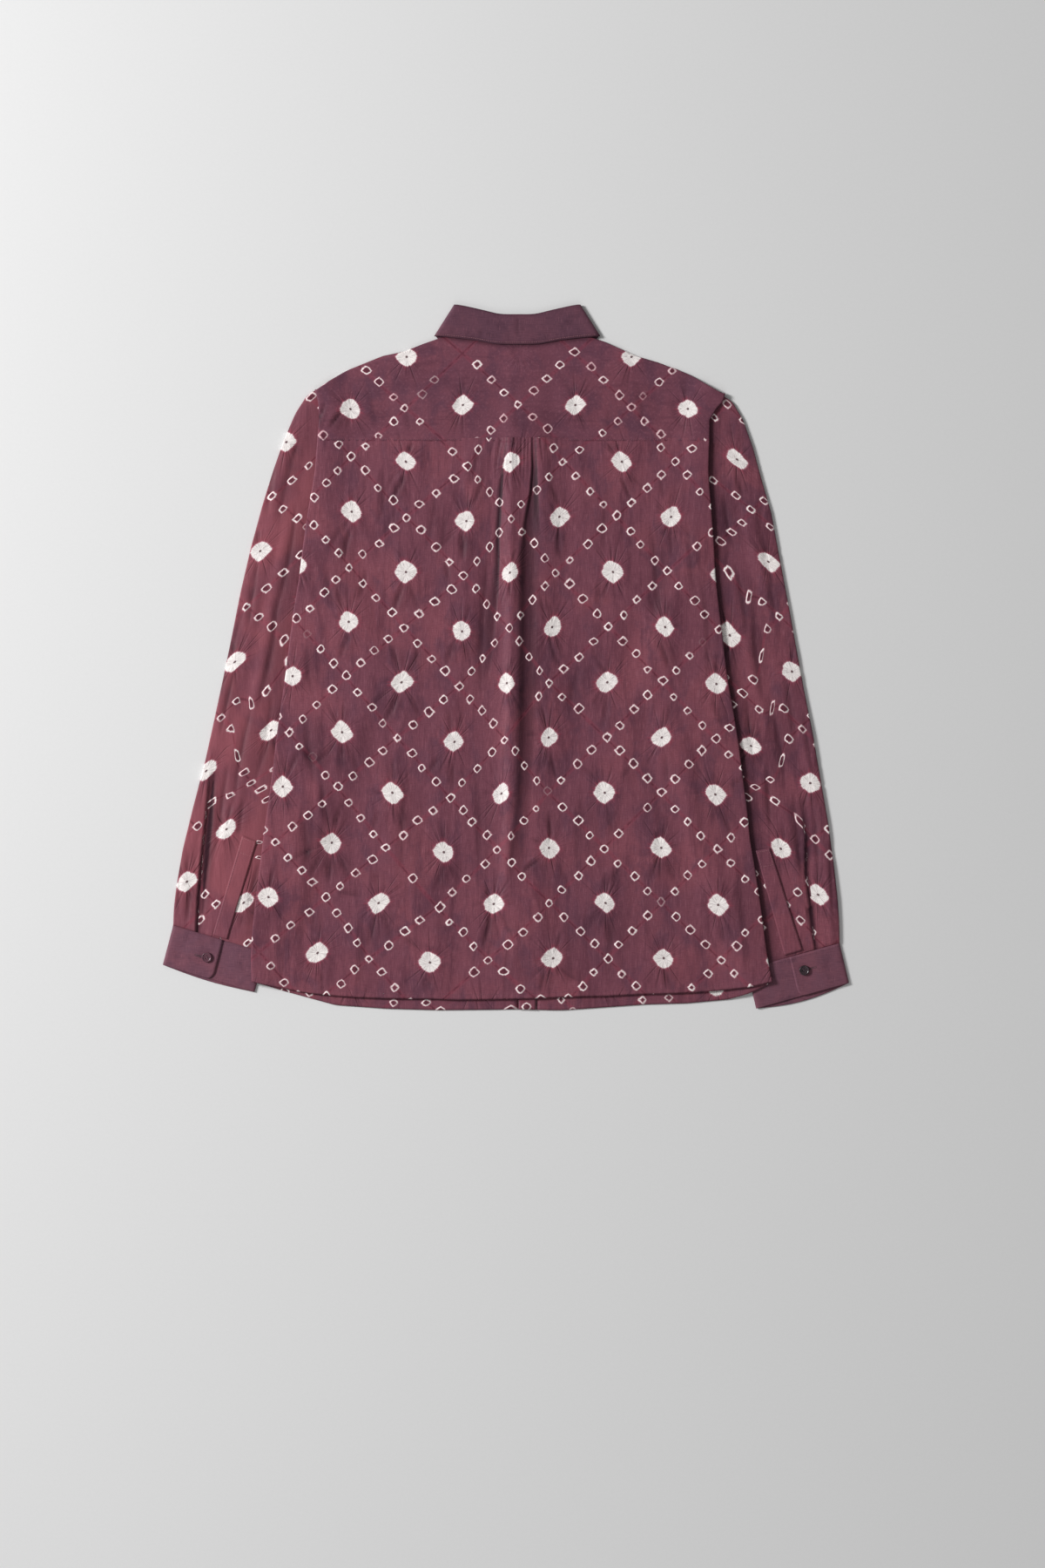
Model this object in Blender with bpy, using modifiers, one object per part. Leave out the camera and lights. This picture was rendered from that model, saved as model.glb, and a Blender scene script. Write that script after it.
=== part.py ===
"""A long-sleeved silk shirt that lies face down, with its sleeves folded down beside the body.

Tables and sizes are in millimetres, seen from above: X to the right, Y towards the collar, Z up
from the surface that the shirt lies on. The meshes are made in metres.
"""

import math
from collections import namedtuple

import bmesh
import bpy
import numpy as np

MM = 0.001
MIDDLE = (-0.53, 0.55, 0.0)  # middle of the laid shirt in the tables, which is the part's origin
WALL = 1.0  # thickness of the cloth wall
SEAM = 0.3  # gap between pieces at a seam, and between a piece and what it lies on
PLY = WALL + SEAM  # from one layer to the next where they lie close
LOFT = 2.0  # from the front panels to the back panel, and between a sleeve's two layers
FLOOR_PLY = WALL / 2  # middle of a wall that lies on the surface

# Outline of the laid shirt, a row for each height. Tuck is the hidden inner edge of each sleeve.
Outline = namedtuple("Outline", "y sleeve_l body_l tuck_l tuck_r body_r sleeve_r")
OUTLINE = [
    Outline(307, -223, -222, -212, 240, 253, 246),
    Outline(296, -234, -219, -208, 235, 250, 258),
    Outline(285, -240, -216, -203, 230, 246, 266),
    Outline(270, -247, -215, -206, 223, 235, 273),
    Outline(248, -256, -217, -206, 221, 233, 281),
    Outline(214, -268, -220, -209, 221, 232, 290),
    Outline(175, -280, -227, -214, 223, 235, 302),
    Outline(135, -291, -233, -212, 224, 238, 310),
    Outline(95, -301, -238, -194, 210, 240, 317),
    Outline(55, -309, -245, -174, 190, 245, 325),
    Outline(15, -317, -250, -160, 175, 250, 332),
    Outline(-25, -325, -255, -157, 171, 255, 339),
    Outline(-70, -334, -262, -169, 182, 264, 348),
    Outline(-105, -341, -266, -181, 193, 268, 354),
    Outline(-145, -349, -271, -195, 206, 274, 360),
    Outline(-195, -362, -278, -215, 220, 279, 368),
    Outline(-245, -371, -284, -236, 238, 287, 374),
    Outline(-295, -380, -290, -257, 256, 294, 380),
    Outline(-350, -383, -293, -279, 274, 301, 384),
    Outline(-375, -384, -292, -285, 283, 306, 386),
]

# Lines across the body, a row for each place along them.
Across = namedtuple("Across", "x top neck hem_back hem_front")
ACROSS = [
    Across(-293, 289, 289, -371, -371),
    Across(-270, 293, 293, -376, -377),
    Across(-231, 300, 300, -384, -391),
    Across(-191, 326, 326, -388, -399),
    Across(-111, 354, 354, -391, -403),
    Across(-86, 364, 357, -391, -404),
    Across(-74, 368, 360, -392, -404),
    Across(-45, 369, 352, -392, -404),
    Across(12, 368, 328, -391, -403),
    Across(70, 369, 352, -389, -404),
    Across(99, 368, 360, -388, -402),
    Across(110, 364, 357, -388, -401),
    Across(148, 347, 347, -386, -398),
    Across(209, 326, 326, -384, -396),
    Across(249, 303, 303, -381, -393),
    Across(280, 292, 292, -377, -384),
    Across(306, 285, 285, -371, -371),
]
YOKE_SEAM = 248.5
HEM_LEFT = -371
SHOULDER_LEFT = 303
SHOULDER_RIGHT = 300

# The sleeves, from the armhole to the cuff seam.
Sleeve = namedtuple("Sleeve", "side head armpit cuff_outer cuff_inner")
SLEEVES = {
    "left": Sleeve("l", 311, 45, (-382.3, -305.6), (-277.0, -337.0)),
    "right": Sleeve("r", 305, 45, (382.3, -326.2), (275.8, -355.6)),
}
SLEEVE_TOP = FLOOR_PLY + LOFT + WALL / 2

# Rings of a sleeve from the armhole to the cuff, and the places across its upper and lower layers.
SLEEVE_RINGS = [0, 0.015, 0.05, 0.1, 0.16, 0.22, 0.3, 0.38, 0.46, 0.54]
SLEEVE_RINGS += [0.62, 0.7, 0.78, 0.86, 0.92, 0.96, 0.98, 1]
SLEEVE_UNDER = [0.75, 0.5, 0.25]
SLEEVE_ACROSS = [0.06, 0.12, 0.18, 0.23, 0.28, 0.35, 0.43, 0.52, 0.62, 0.75, 0.88]

# Soft folds that run along a sleeve: where they start and end from armhole to cuff, their place
# across it from the outer edge at both ends, half their width and their height.
SleeveFold = namedtuple("SleeveFold", "start end across_start across_end half height")
SLEEVE_FOLDS = {
    "left": [
        SleeveFold(-0.2, 0.75, 0.02, 0.16, 14, 1.5),
        SleeveFold(0.1, 1.05, 0.2, 0.42, 13, 1.4),
        SleeveFold(0.3, 1.2, 0.04, 0.09, 9, 1.2),
        SleeveFold(0.9, 1.4, 0.22, 0.24, 7, 1.5),
    ],
    "right": [
        SleeveFold(-0.2, 0.7, 0.04, 0.2, 15, 1.6),
        SleeveFold(0.15, 1.05, 0.3, 0.4, 12, 1.3),
        SleeveFold(0.35, 1.2, 0.05, 0.08, 9, 1.3),
        SleeveFold(0.9, 1.4, 0.3, 0.26, 7, 1.5),
    ],
}

# Folds of the back panel: the two ends of the crest, its flanks, its height, and whether it
# starts at full height in the yoke seam.
BackFold = namedtuple("BackFold", "x_top y_top x_bottom y_bottom flank_l flank_r height from_seam")
BACK_FOLDS = [
    BackFold(3, YOKE_SEAM, 2, -120, 7, 16, 1.9, True),
    BackFold(40, YOKE_SEAM, 33, -190, 9, 30, 1.8, True),
    BackFold(-32, YOKE_SEAM, -52, -60, 22, 18, 1.3, True),
    BackFold(84, 240, 96, -150, 30, 26, 1.2, True),
    BackFold(-110, 215, -128, -340, 34, 30, 1.3, False),
    BackFold(-70, 60, -88, -392, 28, 24, 1.1, False),
    BackFold(128, 200, 142, -330, 32, 36, 1.3, False),
    BackFold(12, 20, 8, -392, 22, 26, 1.0, False),
    BackFold(74, -20, 82, -392, 26, 26, 1.2, False),
]
YOKE_FOLDS = [
    BackFold(-186, 284, -204, 262, 7, 10, 0.8, False),
    BackFold(60, 340, 120, 262, 20, 22, 0.7, False),
    BackFold(-60, 345, -110, 262, 20, 22, 0.7, False),
]

# Gathers in the yoke seam: place, depth of the little valley, and how far down it reaches.
Gather = namedtuple("Gather", "x depth length")
GATHERS = [
    Gather(-5.5, 0.7, 60),
    Gather(1.5, 0.6, 34),
    Gather(7.5, 0.7, 52),
    Gather(12.5, 0.6, 40),
    Gather(17.5, 0.7, 64),
    Gather(22.0, 0.6, 36),
    Gather(29.5, 0.8, 90),
    Gather(38.5, 0.6, 45),
]
GATHER_HALF = 2.4
GATHER_LIFT = 0.8
GATHER_ENDS = (-8, 42)  # where the gathered cloth begins and ends along the seam
GATHER_REACH = 95
GATHER_EASE = 12

# Centre front: the buttonhole band lies on the six buttons, the button band on it.
BAND_LEFT = 14.0
BAND_RIGHT = 34.0
FRONT_BUTTONS = 6
FRONT_BUTTON_TOP = 262.0
FRONT_BUTTON_PITCH = 92.0
BUTTON_RADIUS = 5.75
BUTTON_SIDES = 20
FRONT_BUTTON_THICK = 1.8
CUFF_BUTTON_THICK = 2.4
# A button's section from the middle of its underside, as shares of its radius and thickness.
BUTTON_PROFILE = [(0, 0), (0.8, 0), (1, 0.25), (1, 0.8), (0.9, 1), (0.72, 0.75), (0, 0.75)]

# What the front panels lie on, and how far its ramps reach.
SLEEVE_CLEAR = 0.5  # between a sleeve and the front panel that lies on it
TUCK_MARGIN = 6.0
TUCK_RAMP = 22.0
BAND_RAMP = 30.0
COLLAR_RAMP = 30.0
HEM_RAMP = 60.0
HEM_FLAT = 14.0  # the cloth lies flat this far above its hem
BAND_EASE = 14.0  # how far the back takes to rise over the button band
BAND_SIDE = 6.0

# The folded sides of the body.
FOLD_RADIUS = LOFT / 2
UNDERLAP = 2.2
SIDE_SEAM = 0.9

# Collar, about its own middle line. A row for each section from the middle of the back round
# the folded side to the middle of the front.
COLLAR_MIDDLE = 12.5
Collar = namedtuple("Collar", "x_top y_top x_bottom y_bottom z")
FALL_BACK = FLOOR_PLY + 4.2
FALL_SECTIONS = [
    Collar(0, 394, 0, 359.5, FALL_BACK),
    Collar(20, 394.5, 24, 360, FALL_BACK),
    Collar(40, 399, 48, 364, FALL_BACK),
    Collar(60, 403.5, 72, 367, FALL_BACK),
    Collar(68, 404.8, 88, 368.5, FALL_BACK),
    Collar(71.2, 405, 93, 369, FALL_BACK - 0.7),
    Collar(72.2, 405, 95, 369, FLOOR_PLY + 2.1),
    Collar(71.2, 404.8, 93, 368.5, FLOOR_PLY + 0.7),
    Collar(68, 403, 88, 361, FLOOR_PLY),
    Collar(54, 392, 74, 336, FLOOR_PLY),
    Collar(34, 376, 54, 312, FLOOR_PLY),
    Collar(18, 362, 43, 300, FLOOR_PLY),
    Collar(4, 352, 32, 291, FLOOR_PLY),
]
COLLAR_ACROSS = [0, 0.33, 0.67, 1]
STAND_BACK = FALL_BACK - PLY
STAND_FRONT = FLOOR_PLY + PLY
STAND_SECTIONS = [
    Collar(0, 391, 0, 368.6, STAND_BACK),
    Collar(30, 392, 32, 369.2, STAND_BACK),
    Collar(56, 398, 60, 370, STAND_BACK),
    Collar(64, 400, 72, 371, STAND_BACK),
    Collar(66, 400.5, 76, 371.5, (STAND_BACK + STAND_FRONT) / 2),
    Collar(64, 399, 73, 368.5, STAND_FRONT),
    Collar(52, 388, 57, 355, STAND_FRONT),
    Collar(32, 372, 33, 345, STAND_FRONT),
    Collar(3, 354, 3, 333, STAND_FRONT),
]
COLLAR_LIFT_FROM = 250.0  # the front panels rise over the collar above this height
COLLAR_LIFT_HALF = 114.0
NECK_FROM = 336.0  # above this height the yoke comes down to the collar stand
NECK_RAMP = 14.0
NECK_DROP = 0.4
NECK_EASE = 10.0
NECK_LINE = 330.0  # the front buttons end below this height
BAND_RISE = 1.1  # of the back over the button band

# Cuffs: a band of this height, wrapped flat, whose outer end laps over its inner one.
CUFF_HEIGHT = 47.0
Cuff = namedtuple("Cuff", "outer inner down gape")
CUFFS = {
    "left": Cuff((-382.4, -306.5), (-276.9, -337.8), (-12, -45.5), 3.0),
    "right": Cuff((382.4, -327.0), (275.7, -356.5), (11, -46), 6.0),
}
CUFF_LAP_END = 60.0
CUFF_LAP_START = 27.0
CUFF_CORNER = 10.0
CUFF_CORNER_SHARE = 0.7  # how far the rounded corner cuts into the end of the cuff
CUFF_BUTTON_ALONG = 46.9
CUFF_BUTTON_DOWN = {"left": 24.0, "right": 19.1}
CUFF_ROWS = [0, 14, 28, 36, 41, 44.5, CUFF_HEIGHT]
# Places along a cuff: its inner end, its lower layer and its outer end.
CUFF_INNER_PLACES = [CUFF_LAP_START, 36, 48, CUFF_LAP_END + 4]
CUFF_LOWER_PLACES = [84, 56, 28]
CUFF_OUTER_PLACES = [24, 36]
CUFF_FREE = 80  # from here on the upper layer is single and stands a little higher
CUFF_BULGE = 0.5
CUFF_BEND = 1.5  # from a fold to where the layer beside it is flat
CUFF_UNDER = FLOOR_PLY + PLY
CUFF_OVER = FLOOR_PLY + 2 * PLY

# Sleeve plackets: four corners in order, from the point of the box to the cuff.
PLACKETS = {
    "left": [(-299, -204), (-286.5, -212), (-318.5, -322), (-334, -317)],
    "right": [(286, -221), (302, -218), (339.5, -335), (319, -341.2)],
}
PLACKET_ROWS = [0, 0.15, 0.4, 0.7, 1]
PLACKET_CLEAR = 6.0
PLACKET_EASE = 14.0  # how far beside and above a placket the folds of the sleeve fade
PLACKET_ABOVE = 20.0
BODY_CLEAR = 5.0  # beside the body's edge the folds of a sleeve fade
BODY_EASE = 12.0

# The grids of the body: places down the back, the yoke and the fronts from 0 to 1, and columns.
BACK_ROWS = [0, 0.012, 0.028, 0.05, 0.075, 0.105, 0.14, 0.19, 0.24, 0.3, 0.36, 0.42, 0.48, 0.54]
BACK_ROWS += [0.6, 0.66, 0.72, 0.78, 0.84, 0.9, 0.95, 1]
YOKE_ROWS = [0, 0.1, 0.22, 0.42, 0.68, 1]
FRONT_ROWS = [0.05, 0.105, 0.19, 0.24, 0.3, 0.36, 0.42, 0.48, 0.54]
FRONT_ROWS += [0.6, 0.66, 0.72, 0.78, 0.84, 0.9, 0.95, 1]
SIDE_COLUMNS = [i / 8 for i in range(1, 8)]
GATHER_MARGINS = (3, 9)  # columns beside the first and last gather
GATHER_SPREAD = 1.5  # how much wider apart the gathers' columns are at the hem
HALF_COVERED = 0.55  # a column between the folded side and the sleeve's hidden edge
BAND_COLUMNS = (-20, -6, 4)  # columns of the yoke beside each edge of the button band

# Finishes, as seen in daylight: red, green and blue from 0 to 255, roughness.
PRINTED_SILK = ((122, 78, 90), 0.5)
PLAIN_SILK = ((98, 62, 77), 0.45)
DARK_BUTTON = ((52, 38, 46), 0.25)
PLUM_BUTTON = ((96, 66, 80), 0.25)


def curve(rows, key, column, at):
    """A smooth curve through one column of a table, read at a value of its key column."""
    table = sorted(rows, key=lambda row: getattr(row, key))
    xs = np.array([getattr(row, key) for row in table], float)
    ys = np.array([getattr(row, column) for row in table], float)
    at = min(max(at, xs[0]), xs[-1])
    slopes = np.gradient(ys, xs)
    i = min(max(int(np.searchsorted(xs, at)) - 1, 0), len(xs) - 2)
    step = xs[i + 1] - xs[i]
    t = (at - xs[i]) / step
    blend = t * t * (3 - 2 * t)
    ends = ys[i] + (ys[i + 1] - ys[i]) * blend
    return float(ends + step * t * (1 - t) * (slopes[i] * (1 - t) - slopes[i + 1] * t))


def outline(column, y):
    return curve(OUTLINE, "y", column, y)


def across(column, x):
    return curve(ACROSS, "x", column, x)


def mix(a, b, t):
    return a + (b - a) * t


def clip(value):
    return min(max(value, 0.0), 1.0)


def soft(value):
    value = clip(value)
    return value * value * (3 - 2 * value)


def base_height(x, y):
    """Height of the underside of the front panels, over the sleeves, the collar and the buttons."""
    out_l = x - outline("tuck_l", y) - TUCK_MARGIN
    out_r = outline("tuck_r", y) - TUCK_MARGIN - x
    over_sleeve = (SLEEVE_TOP + SLEEVE_CLEAR) * clip(1 - min(out_l, out_r) / TUCK_RAMP)
    beside = clip((COLLAR_LIFT_HALF + COLLAR_RAMP - abs(x - COLLAR_MIDDLE)) / COLLAR_RAMP)
    over_collar = PLY * clip((y - COLLAR_LIFT_FROM) / COLLAR_RAMP) * beside
    near_band = clip(1 - max(BAND_LEFT - x, x - BAND_RIGHT, 0) / BAND_RAMP)
    above_hem = clip((y - across("hem_front", x) - HEM_FLAT) / HEM_RAMP)
    below_neck = clip((NECK_LINE - y) / COLLAR_RAMP)
    over_buttons = (FRONT_BUTTON_THICK + SEAM) * near_band * above_hem * below_neck
    return max(over_sleeve, over_collar, over_buttons)


def crest(fold, x, y):
    """Height of one soft fold of the back at a place."""
    along = (fold.y_top - y) / (fold.y_top - fold.y_bottom)
    if not 0 <= along <= 1:
        return 0.0
    beside = x - mix(fold.x_top, fold.x_bottom, along)
    flank = fold.flank_l if beside < 0 else fold.flank_r
    fade = math.cos(along * math.pi / 2) if fold.from_seam else math.sin(along * math.pi)
    return fold.height * fade * soft(1 - abs(beside) / flank)


def gathering(x, y):
    """The little valleys of the gathers, in cloth that stands a little proud at the seam."""
    down = YOKE_SEAM - y
    beside = max(GATHER_ENDS[0] - x, x - GATHER_ENDS[1], 0)
    lift = GATHER_LIFT * soft(1 - beside / GATHER_EASE) * soft(1 - down / GATHER_REACH)
    valleys = [
        gather.depth * soft(1 - abs(x - gather.x) / GATHER_HALF) * soft(1 - down / gather.length)
        for gather in GATHERS
    ]
    return max(lift - max(valleys), 0.0)


def back_height(x, y):
    """Middle of the back panel's or the yoke's wall."""
    beside_collar = clip((COLLAR_LIFT_HALF - abs(x - COLLAR_MIDDLE)) / NECK_EASE)
    at_neck = soft((y - NECK_FROM) / NECK_RAMP) * beside_collar
    off_band = max(BAND_LEFT - BAND_SIDE - x, x - BAND_RIGHT - BAND_SIDE, 0)
    over_band = BAND_RISE * soft(1 - off_band / BAND_EASE)
    height = base_height(x, y) + FLOOR_PLY + LOFT + (1 - at_neck) * over_band - at_neck * NECK_DROP
    if y > YOKE_SEAM:
        return height + (1 - at_neck) * sum(crest(fold, x, y) for fold in YOKE_FOLDS)
    return height + max(crest(fold, x, y) for fold in BACK_FOLDS) + gathering(x, y)


def front_height(x, y):
    return base_height(x, y) + FLOOR_PLY


def silk(name, finish):
    """A Principled material from a colour in daylight and a roughness."""
    rgb, roughness = finish
    linear = [(c / 255 / 12.92 if c < 11 else ((c / 255 + 0.055) / 1.055) ** 2.4) for c in rgb]
    material = bpy.data.materials.new(name)
    material.use_nodes = True
    shader = material.node_tree.nodes["Principled BSDF"]
    shader.inputs["Base Color"].default_value = (*linear, 1)
    shader.inputs["Roughness"].default_value = roughness
    shader.inputs["Metallic"].default_value = 0
    return material


def add_object(name, mesh, finish):
    part = bpy.data.objects.new(name, mesh)
    part.data.materials.append(silk(name, finish))
    shirt.objects.link(part)
    return part


def placed(point):
    """A point of the tables in metres from the part's origin."""
    return [(c - m) * MM for c, m in zip(point, MIDDLE)]


def cloth(name, rows, finish, closed=False):
    """A wall of cloth through rows of points. Each row has as many points as the others, and
    runs on into a ring where closed is set."""
    mesh = bpy.data.meshes.new(name)
    form = bmesh.new()
    grid = [[form.verts.new(placed(point)) for point in row] for row in rows]
    count = len(rows[0])
    for upper, lower in zip(grid, grid[1:]):
        for i in range(count if closed else count - 1):
            j = (i + 1) % count
            form.faces.new((upper[i], lower[i], lower[j], upper[j]))
    bmesh.ops.recalc_face_normals(form, faces=form.faces)
    form.to_mesh(mesh)
    form.free()
    part = add_object(name, mesh, finish)
    wall = part.modifiers.new("wall", "SOLIDIFY")
    wall.thickness = WALL * MM
    wall.offset = 0
    wall.use_rim = True
    return part


def row_heights(x, above, below, fraction):
    """The Y of a row of the body grid at one place across, between two lines."""
    return mix(above(x), below(x), fraction)


def seam_line(x):
    return YOKE_SEAM


def yoke_edge(x):
    return YOKE_SEAM + SEAM


def line_of(column):
    """One of the lines across the body, as a function of the place across."""
    return lambda x: across(column, x)


def tuck_edge(side, above, below, fraction, y_end):
    """Where a row passes the hidden inner edge of a sleeve, just inside it."""
    inward = TUCK_MARGIN if side == "l" else -TUCK_MARGIN
    x = outline(f"tuck_{side}", y_end) + inward
    for _ in range(3):
        x = outline(f"tuck_{side}", row_heights(x, above, below, fraction)) + inward
    return x


def body_row(above, below, fraction, ends, inner):
    """One row of the back or yoke: folded side, over the sleeve, middle, and the other side."""
    y_l = mix(*ends[0], fraction)
    y_r = mix(*ends[1], fraction)
    left = outline("body_l", y_l) + WALL / 2
    right = outline("body_r", y_r) - WALL / 2
    flat_l = tuck_edge("l", above, below, fraction, y_l)
    flat_r = tuck_edge("r", above, below, fraction, y_r)
    ramp_l = flat_l + TUCK_RAMP
    ramp_r = flat_r - TUCK_RAMP
    xs = [left + FOLD_RADIUS, mix(left, flat_l, HALF_COVERED), flat_l, ramp_l]
    xs += inner(ramp_l, ramp_r, fraction)
    xs += [ramp_r, flat_r, mix(right, flat_r, HALF_COVERED), right - FOLD_RADIUS]
    points = [(x, row_heights(x, above, below, fraction)) for x in xs]
    sheet = [(x, y, back_height(x, y)) for x, y in points]
    (x_l, y_l, z_l), (x_r, y_r, z_r) = sheet[0], sheet[-1]
    fold_l = [(x_l + UNDERLAP, y_l, z_l - LOFT), (x_l, y_l, z_l - LOFT)]
    fold_l.append((left, y_l, z_l - FOLD_RADIUS))
    fold_r = [(right, y_r, z_r - FOLD_RADIUS), (x_r, y_r, z_r - LOFT)]
    fold_r.append((x_r - UNDERLAP, y_r, z_r - LOFT))
    return fold_l + sheet + fold_r


def filled(ramp_l, middle, ramp_r):
    """Columns in the middle, with even ones between them and the ramps over the sleeves."""
    left = [mix(ramp_l, middle[0], t) for t in SIDE_COLUMNS]
    right = [mix(middle[-1], ramp_r, t) for t in SIDE_COLUMNS]
    return left + middle + right


def back_columns(ramp_l, ramp_r, fraction):
    """Places across the middle of the back: through every gather, spreading towards the hem."""
    valleys = [gather.x for gather in GATHERS]
    between = [(a + b) / 2 for a, b in zip(valleys, valleys[1:])]
    beside = [valleys[0] - margin for margin in GATHER_MARGINS]
    beside += [valleys[-1] + margin for margin in GATHER_MARGINS]
    spread = mix(1.0, GATHER_SPREAD, fraction)
    centre = (valleys[0] + valleys[-1]) / 2
    middle = [centre + (x - centre) * spread for x in sorted(valleys + between + beside)]
    return filled(ramp_l, middle, ramp_r)


def yoke_columns(ramp_l, ramp_r, fraction):
    """Places across the middle of the yoke, closer over the button band."""
    middle = [BAND_LEFT + offset for offset in BAND_COLUMNS]
    middle += [BAND_RIGHT - offset for offset in reversed(BAND_COLUMNS)]
    return filled(ramp_l, middle, ramp_r)


def make_back():
    ends = ((YOKE_SEAM, HEM_LEFT), (YOKE_SEAM, HEM_LEFT))
    hem = line_of("hem_back")
    rows = [body_row(seam_line, hem, f, ends, back_columns) for f in BACK_ROWS]
    return cloth("back", rows, PRINTED_SILK)


def make_yoke():
    ends = ((SHOULDER_LEFT, YOKE_SEAM), (SHOULDER_RIGHT, YOKE_SEAM))
    top = line_of("top")
    rows = [body_row(top, yoke_edge, f, ends, yoke_columns) for f in YOKE_ROWS]
    return cloth("yoke", rows, PRINTED_SILK)


def front_row(side, above, below, fraction, ends):
    """One row of a front panel, from the side seam to the band at the middle."""
    y_end = mix(*ends, fraction)
    sign = -1 if side == "l" else 1
    seam = outline(f"body_{side}", y_end) - sign * (WALL / 2 + FOLD_RADIUS + UNDERLAP + SIDE_SEAM)
    flat = tuck_edge(side, above, below, fraction, y_end)
    ramp = flat - sign * TUCK_RAMP
    edge = BAND_LEFT - SEAM if side == "l" else BAND_RIGHT + SEAM
    foot = edge + sign * BAND_RAMP
    xs = [seam, mix(seam, flat, 0.5), flat, ramp]
    xs += [mix(ramp, foot, t) for t in (0.25, 0.5, 0.75, 1)] + [mix(foot, edge, 0.5), edge]
    points = [(x, row_heights(x, above, below, fraction)) for x in xs]
    return [(x, y, front_height(x, y)) for x, y in points]


def make_front(name, side):
    shoulder = SHOULDER_LEFT if side == "l" else SHOULDER_RIGHT
    neck = line_of("neck")
    hem = line_of("hem_front")
    rows = [front_row(side, neck, seam_line, f, (shoulder, YOKE_SEAM)) for f in YOKE_ROWS]
    rows += [front_row(side, seam_line, hem, f, (YOKE_SEAM, HEM_LEFT)) for f in FRONT_ROWS]
    return cloth(name, rows, PRINTED_SILK)


def make_band(name, lift):
    """A band down the middle of the front, lift above the height of the front panels."""
    rows = []
    for above, below, fractions in (
        (line_of("neck"), seam_line, YOKE_ROWS),
        (seam_line, line_of("hem_front"), FRONT_ROWS),
    ):
        for fraction in fractions:
            xs = [mix(BAND_LEFT, BAND_RIGHT, t) for t in (0, 0.5, 1)]
            points = [(x, row_heights(x, above, below, fraction)) for x in xs]
            rows.append([(x, y, front_height(x, y) + lift) for x, y in points])
    return cloth(name, rows, PRINTED_SILK)


def sleeve_relief(side, along, place, width, x, y):
    """Height that the soft folds add to a sleeve's upper layer, none under the body or placket."""
    folds = 0.0
    for fold in SLEEVE_FOLDS[side]:
        f = (along - fold.start) / (fold.end - fold.start)
        if 0 < f < 1:
            beside = (place - mix(fold.across_start, fold.across_end, f)) * width
            flank = soft(1 - abs(beside) / fold.half)
            folds = max(folds, fold.height * math.sin(f * math.pi) * flank)
    sign = -1 if side == "left" else 1
    to_body = (x - outline(f"body_{side[0]}", y)) * sign
    corners = PLACKETS[side]
    top, foot = corners[0], corners[3] if side == "left" else corners[2]
    down = clip((top[1] - y) / (top[1] - foot[1]))
    to_placket = (x - mix(top[0], foot[0], down)) * sign - PLACKET_CLEAR
    if side == "right":
        to_placket = x - mix(corners[1][0], foot[0], down) - PLACKET_CLEAR
    above = soft((top[1] + PLACKET_ABOVE - y) / PLACKET_EASE)
    near_placket = soft(1 - to_placket / PLACKET_EASE) * above
    return folds * soft((to_body - BODY_CLEAR) / BODY_EASE) * (1 - near_placket)


def make_sleeve(side):
    sleeve = SLEEVES[side]
    sign = -1 if side == "left" else 1
    head_x = outline(f"tuck_{sleeve.side}", sleeve.head)
    armpit_x = outline(f"tuck_{sleeve.side}", sleeve.armpit)
    rings = []
    for along in SLEEVE_RINGS:
        y_out = mix(sleeve.head, sleeve.cuff_outer[1], along)
        y_in = mix(sleeve.armpit, sleeve.cuff_inner[1], along)
        x_out = mix(outline(f"sleeve_{sleeve.side}", y_out), sleeve.cuff_outer[0], along**8)
        x_in = mix(outline(f"tuck_{sleeve.side}", y_in), sleeve.cuff_inner[0], along**8)
        width = math.hypot(x_in - x_out, y_in - y_out)

        def place_at(t):
            """A place across the sleeve, which follows the armhole at its upper end."""
            y_arm = mix(sleeve.head, sleeve.armpit, t)
            x_arm = outline(f"tuck_{sleeve.side}", y_arm)
            if along == 0:
                return x_arm, y_arm
            chord = mix(head_x, armpit_x, t)
            return mix(x_out, x_in, t) + (x_arm - chord) * (1 - along) ** 2, mix(y_out, y_in, t)

        bend = (LOFT / 2) / width
        lean = -sign * WALL / 2
        upper = []
        for t in [bend] + SLEEVE_ACROSS + [1 - bend]:
            x, y = place_at(t)
            lift = sleeve_relief(side, along, t, width, x, y)
            upper.append((x + lean * (1 - 2 * t), y, FLOOR_PLY + LOFT + lift))
        lower = []
        for t in [1 - bend] + SLEEVE_UNDER + [bend]:
            x, y = place_at(t)
            lower.append((x + lean * (1 - 2 * t), y, FLOOR_PLY))
        x, y = place_at(0)
        outer = (x + lean, y, FLOOR_PLY + LOFT / 2)
        x, y = place_at(1)
        inner = (x - lean, y, FLOOR_PLY + LOFT / 2)
        rings.append([outer] + upper + [inner] + lower)
    return cloth(f"sleeve_{side}", rings, PRINTED_SILK, closed=True)


def cuff_frame(side):
    """The cuff's upper outer corner, the direction along it, the direction down it, its length."""
    cuff = CUFFS[side]
    outer = np.array(cuff.outer)
    along = np.array(cuff.inner) - outer
    down = np.array(cuff.down)
    length = float(np.linalg.norm(along))
    return outer, along / length, down / np.linalg.norm(down), length


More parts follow.
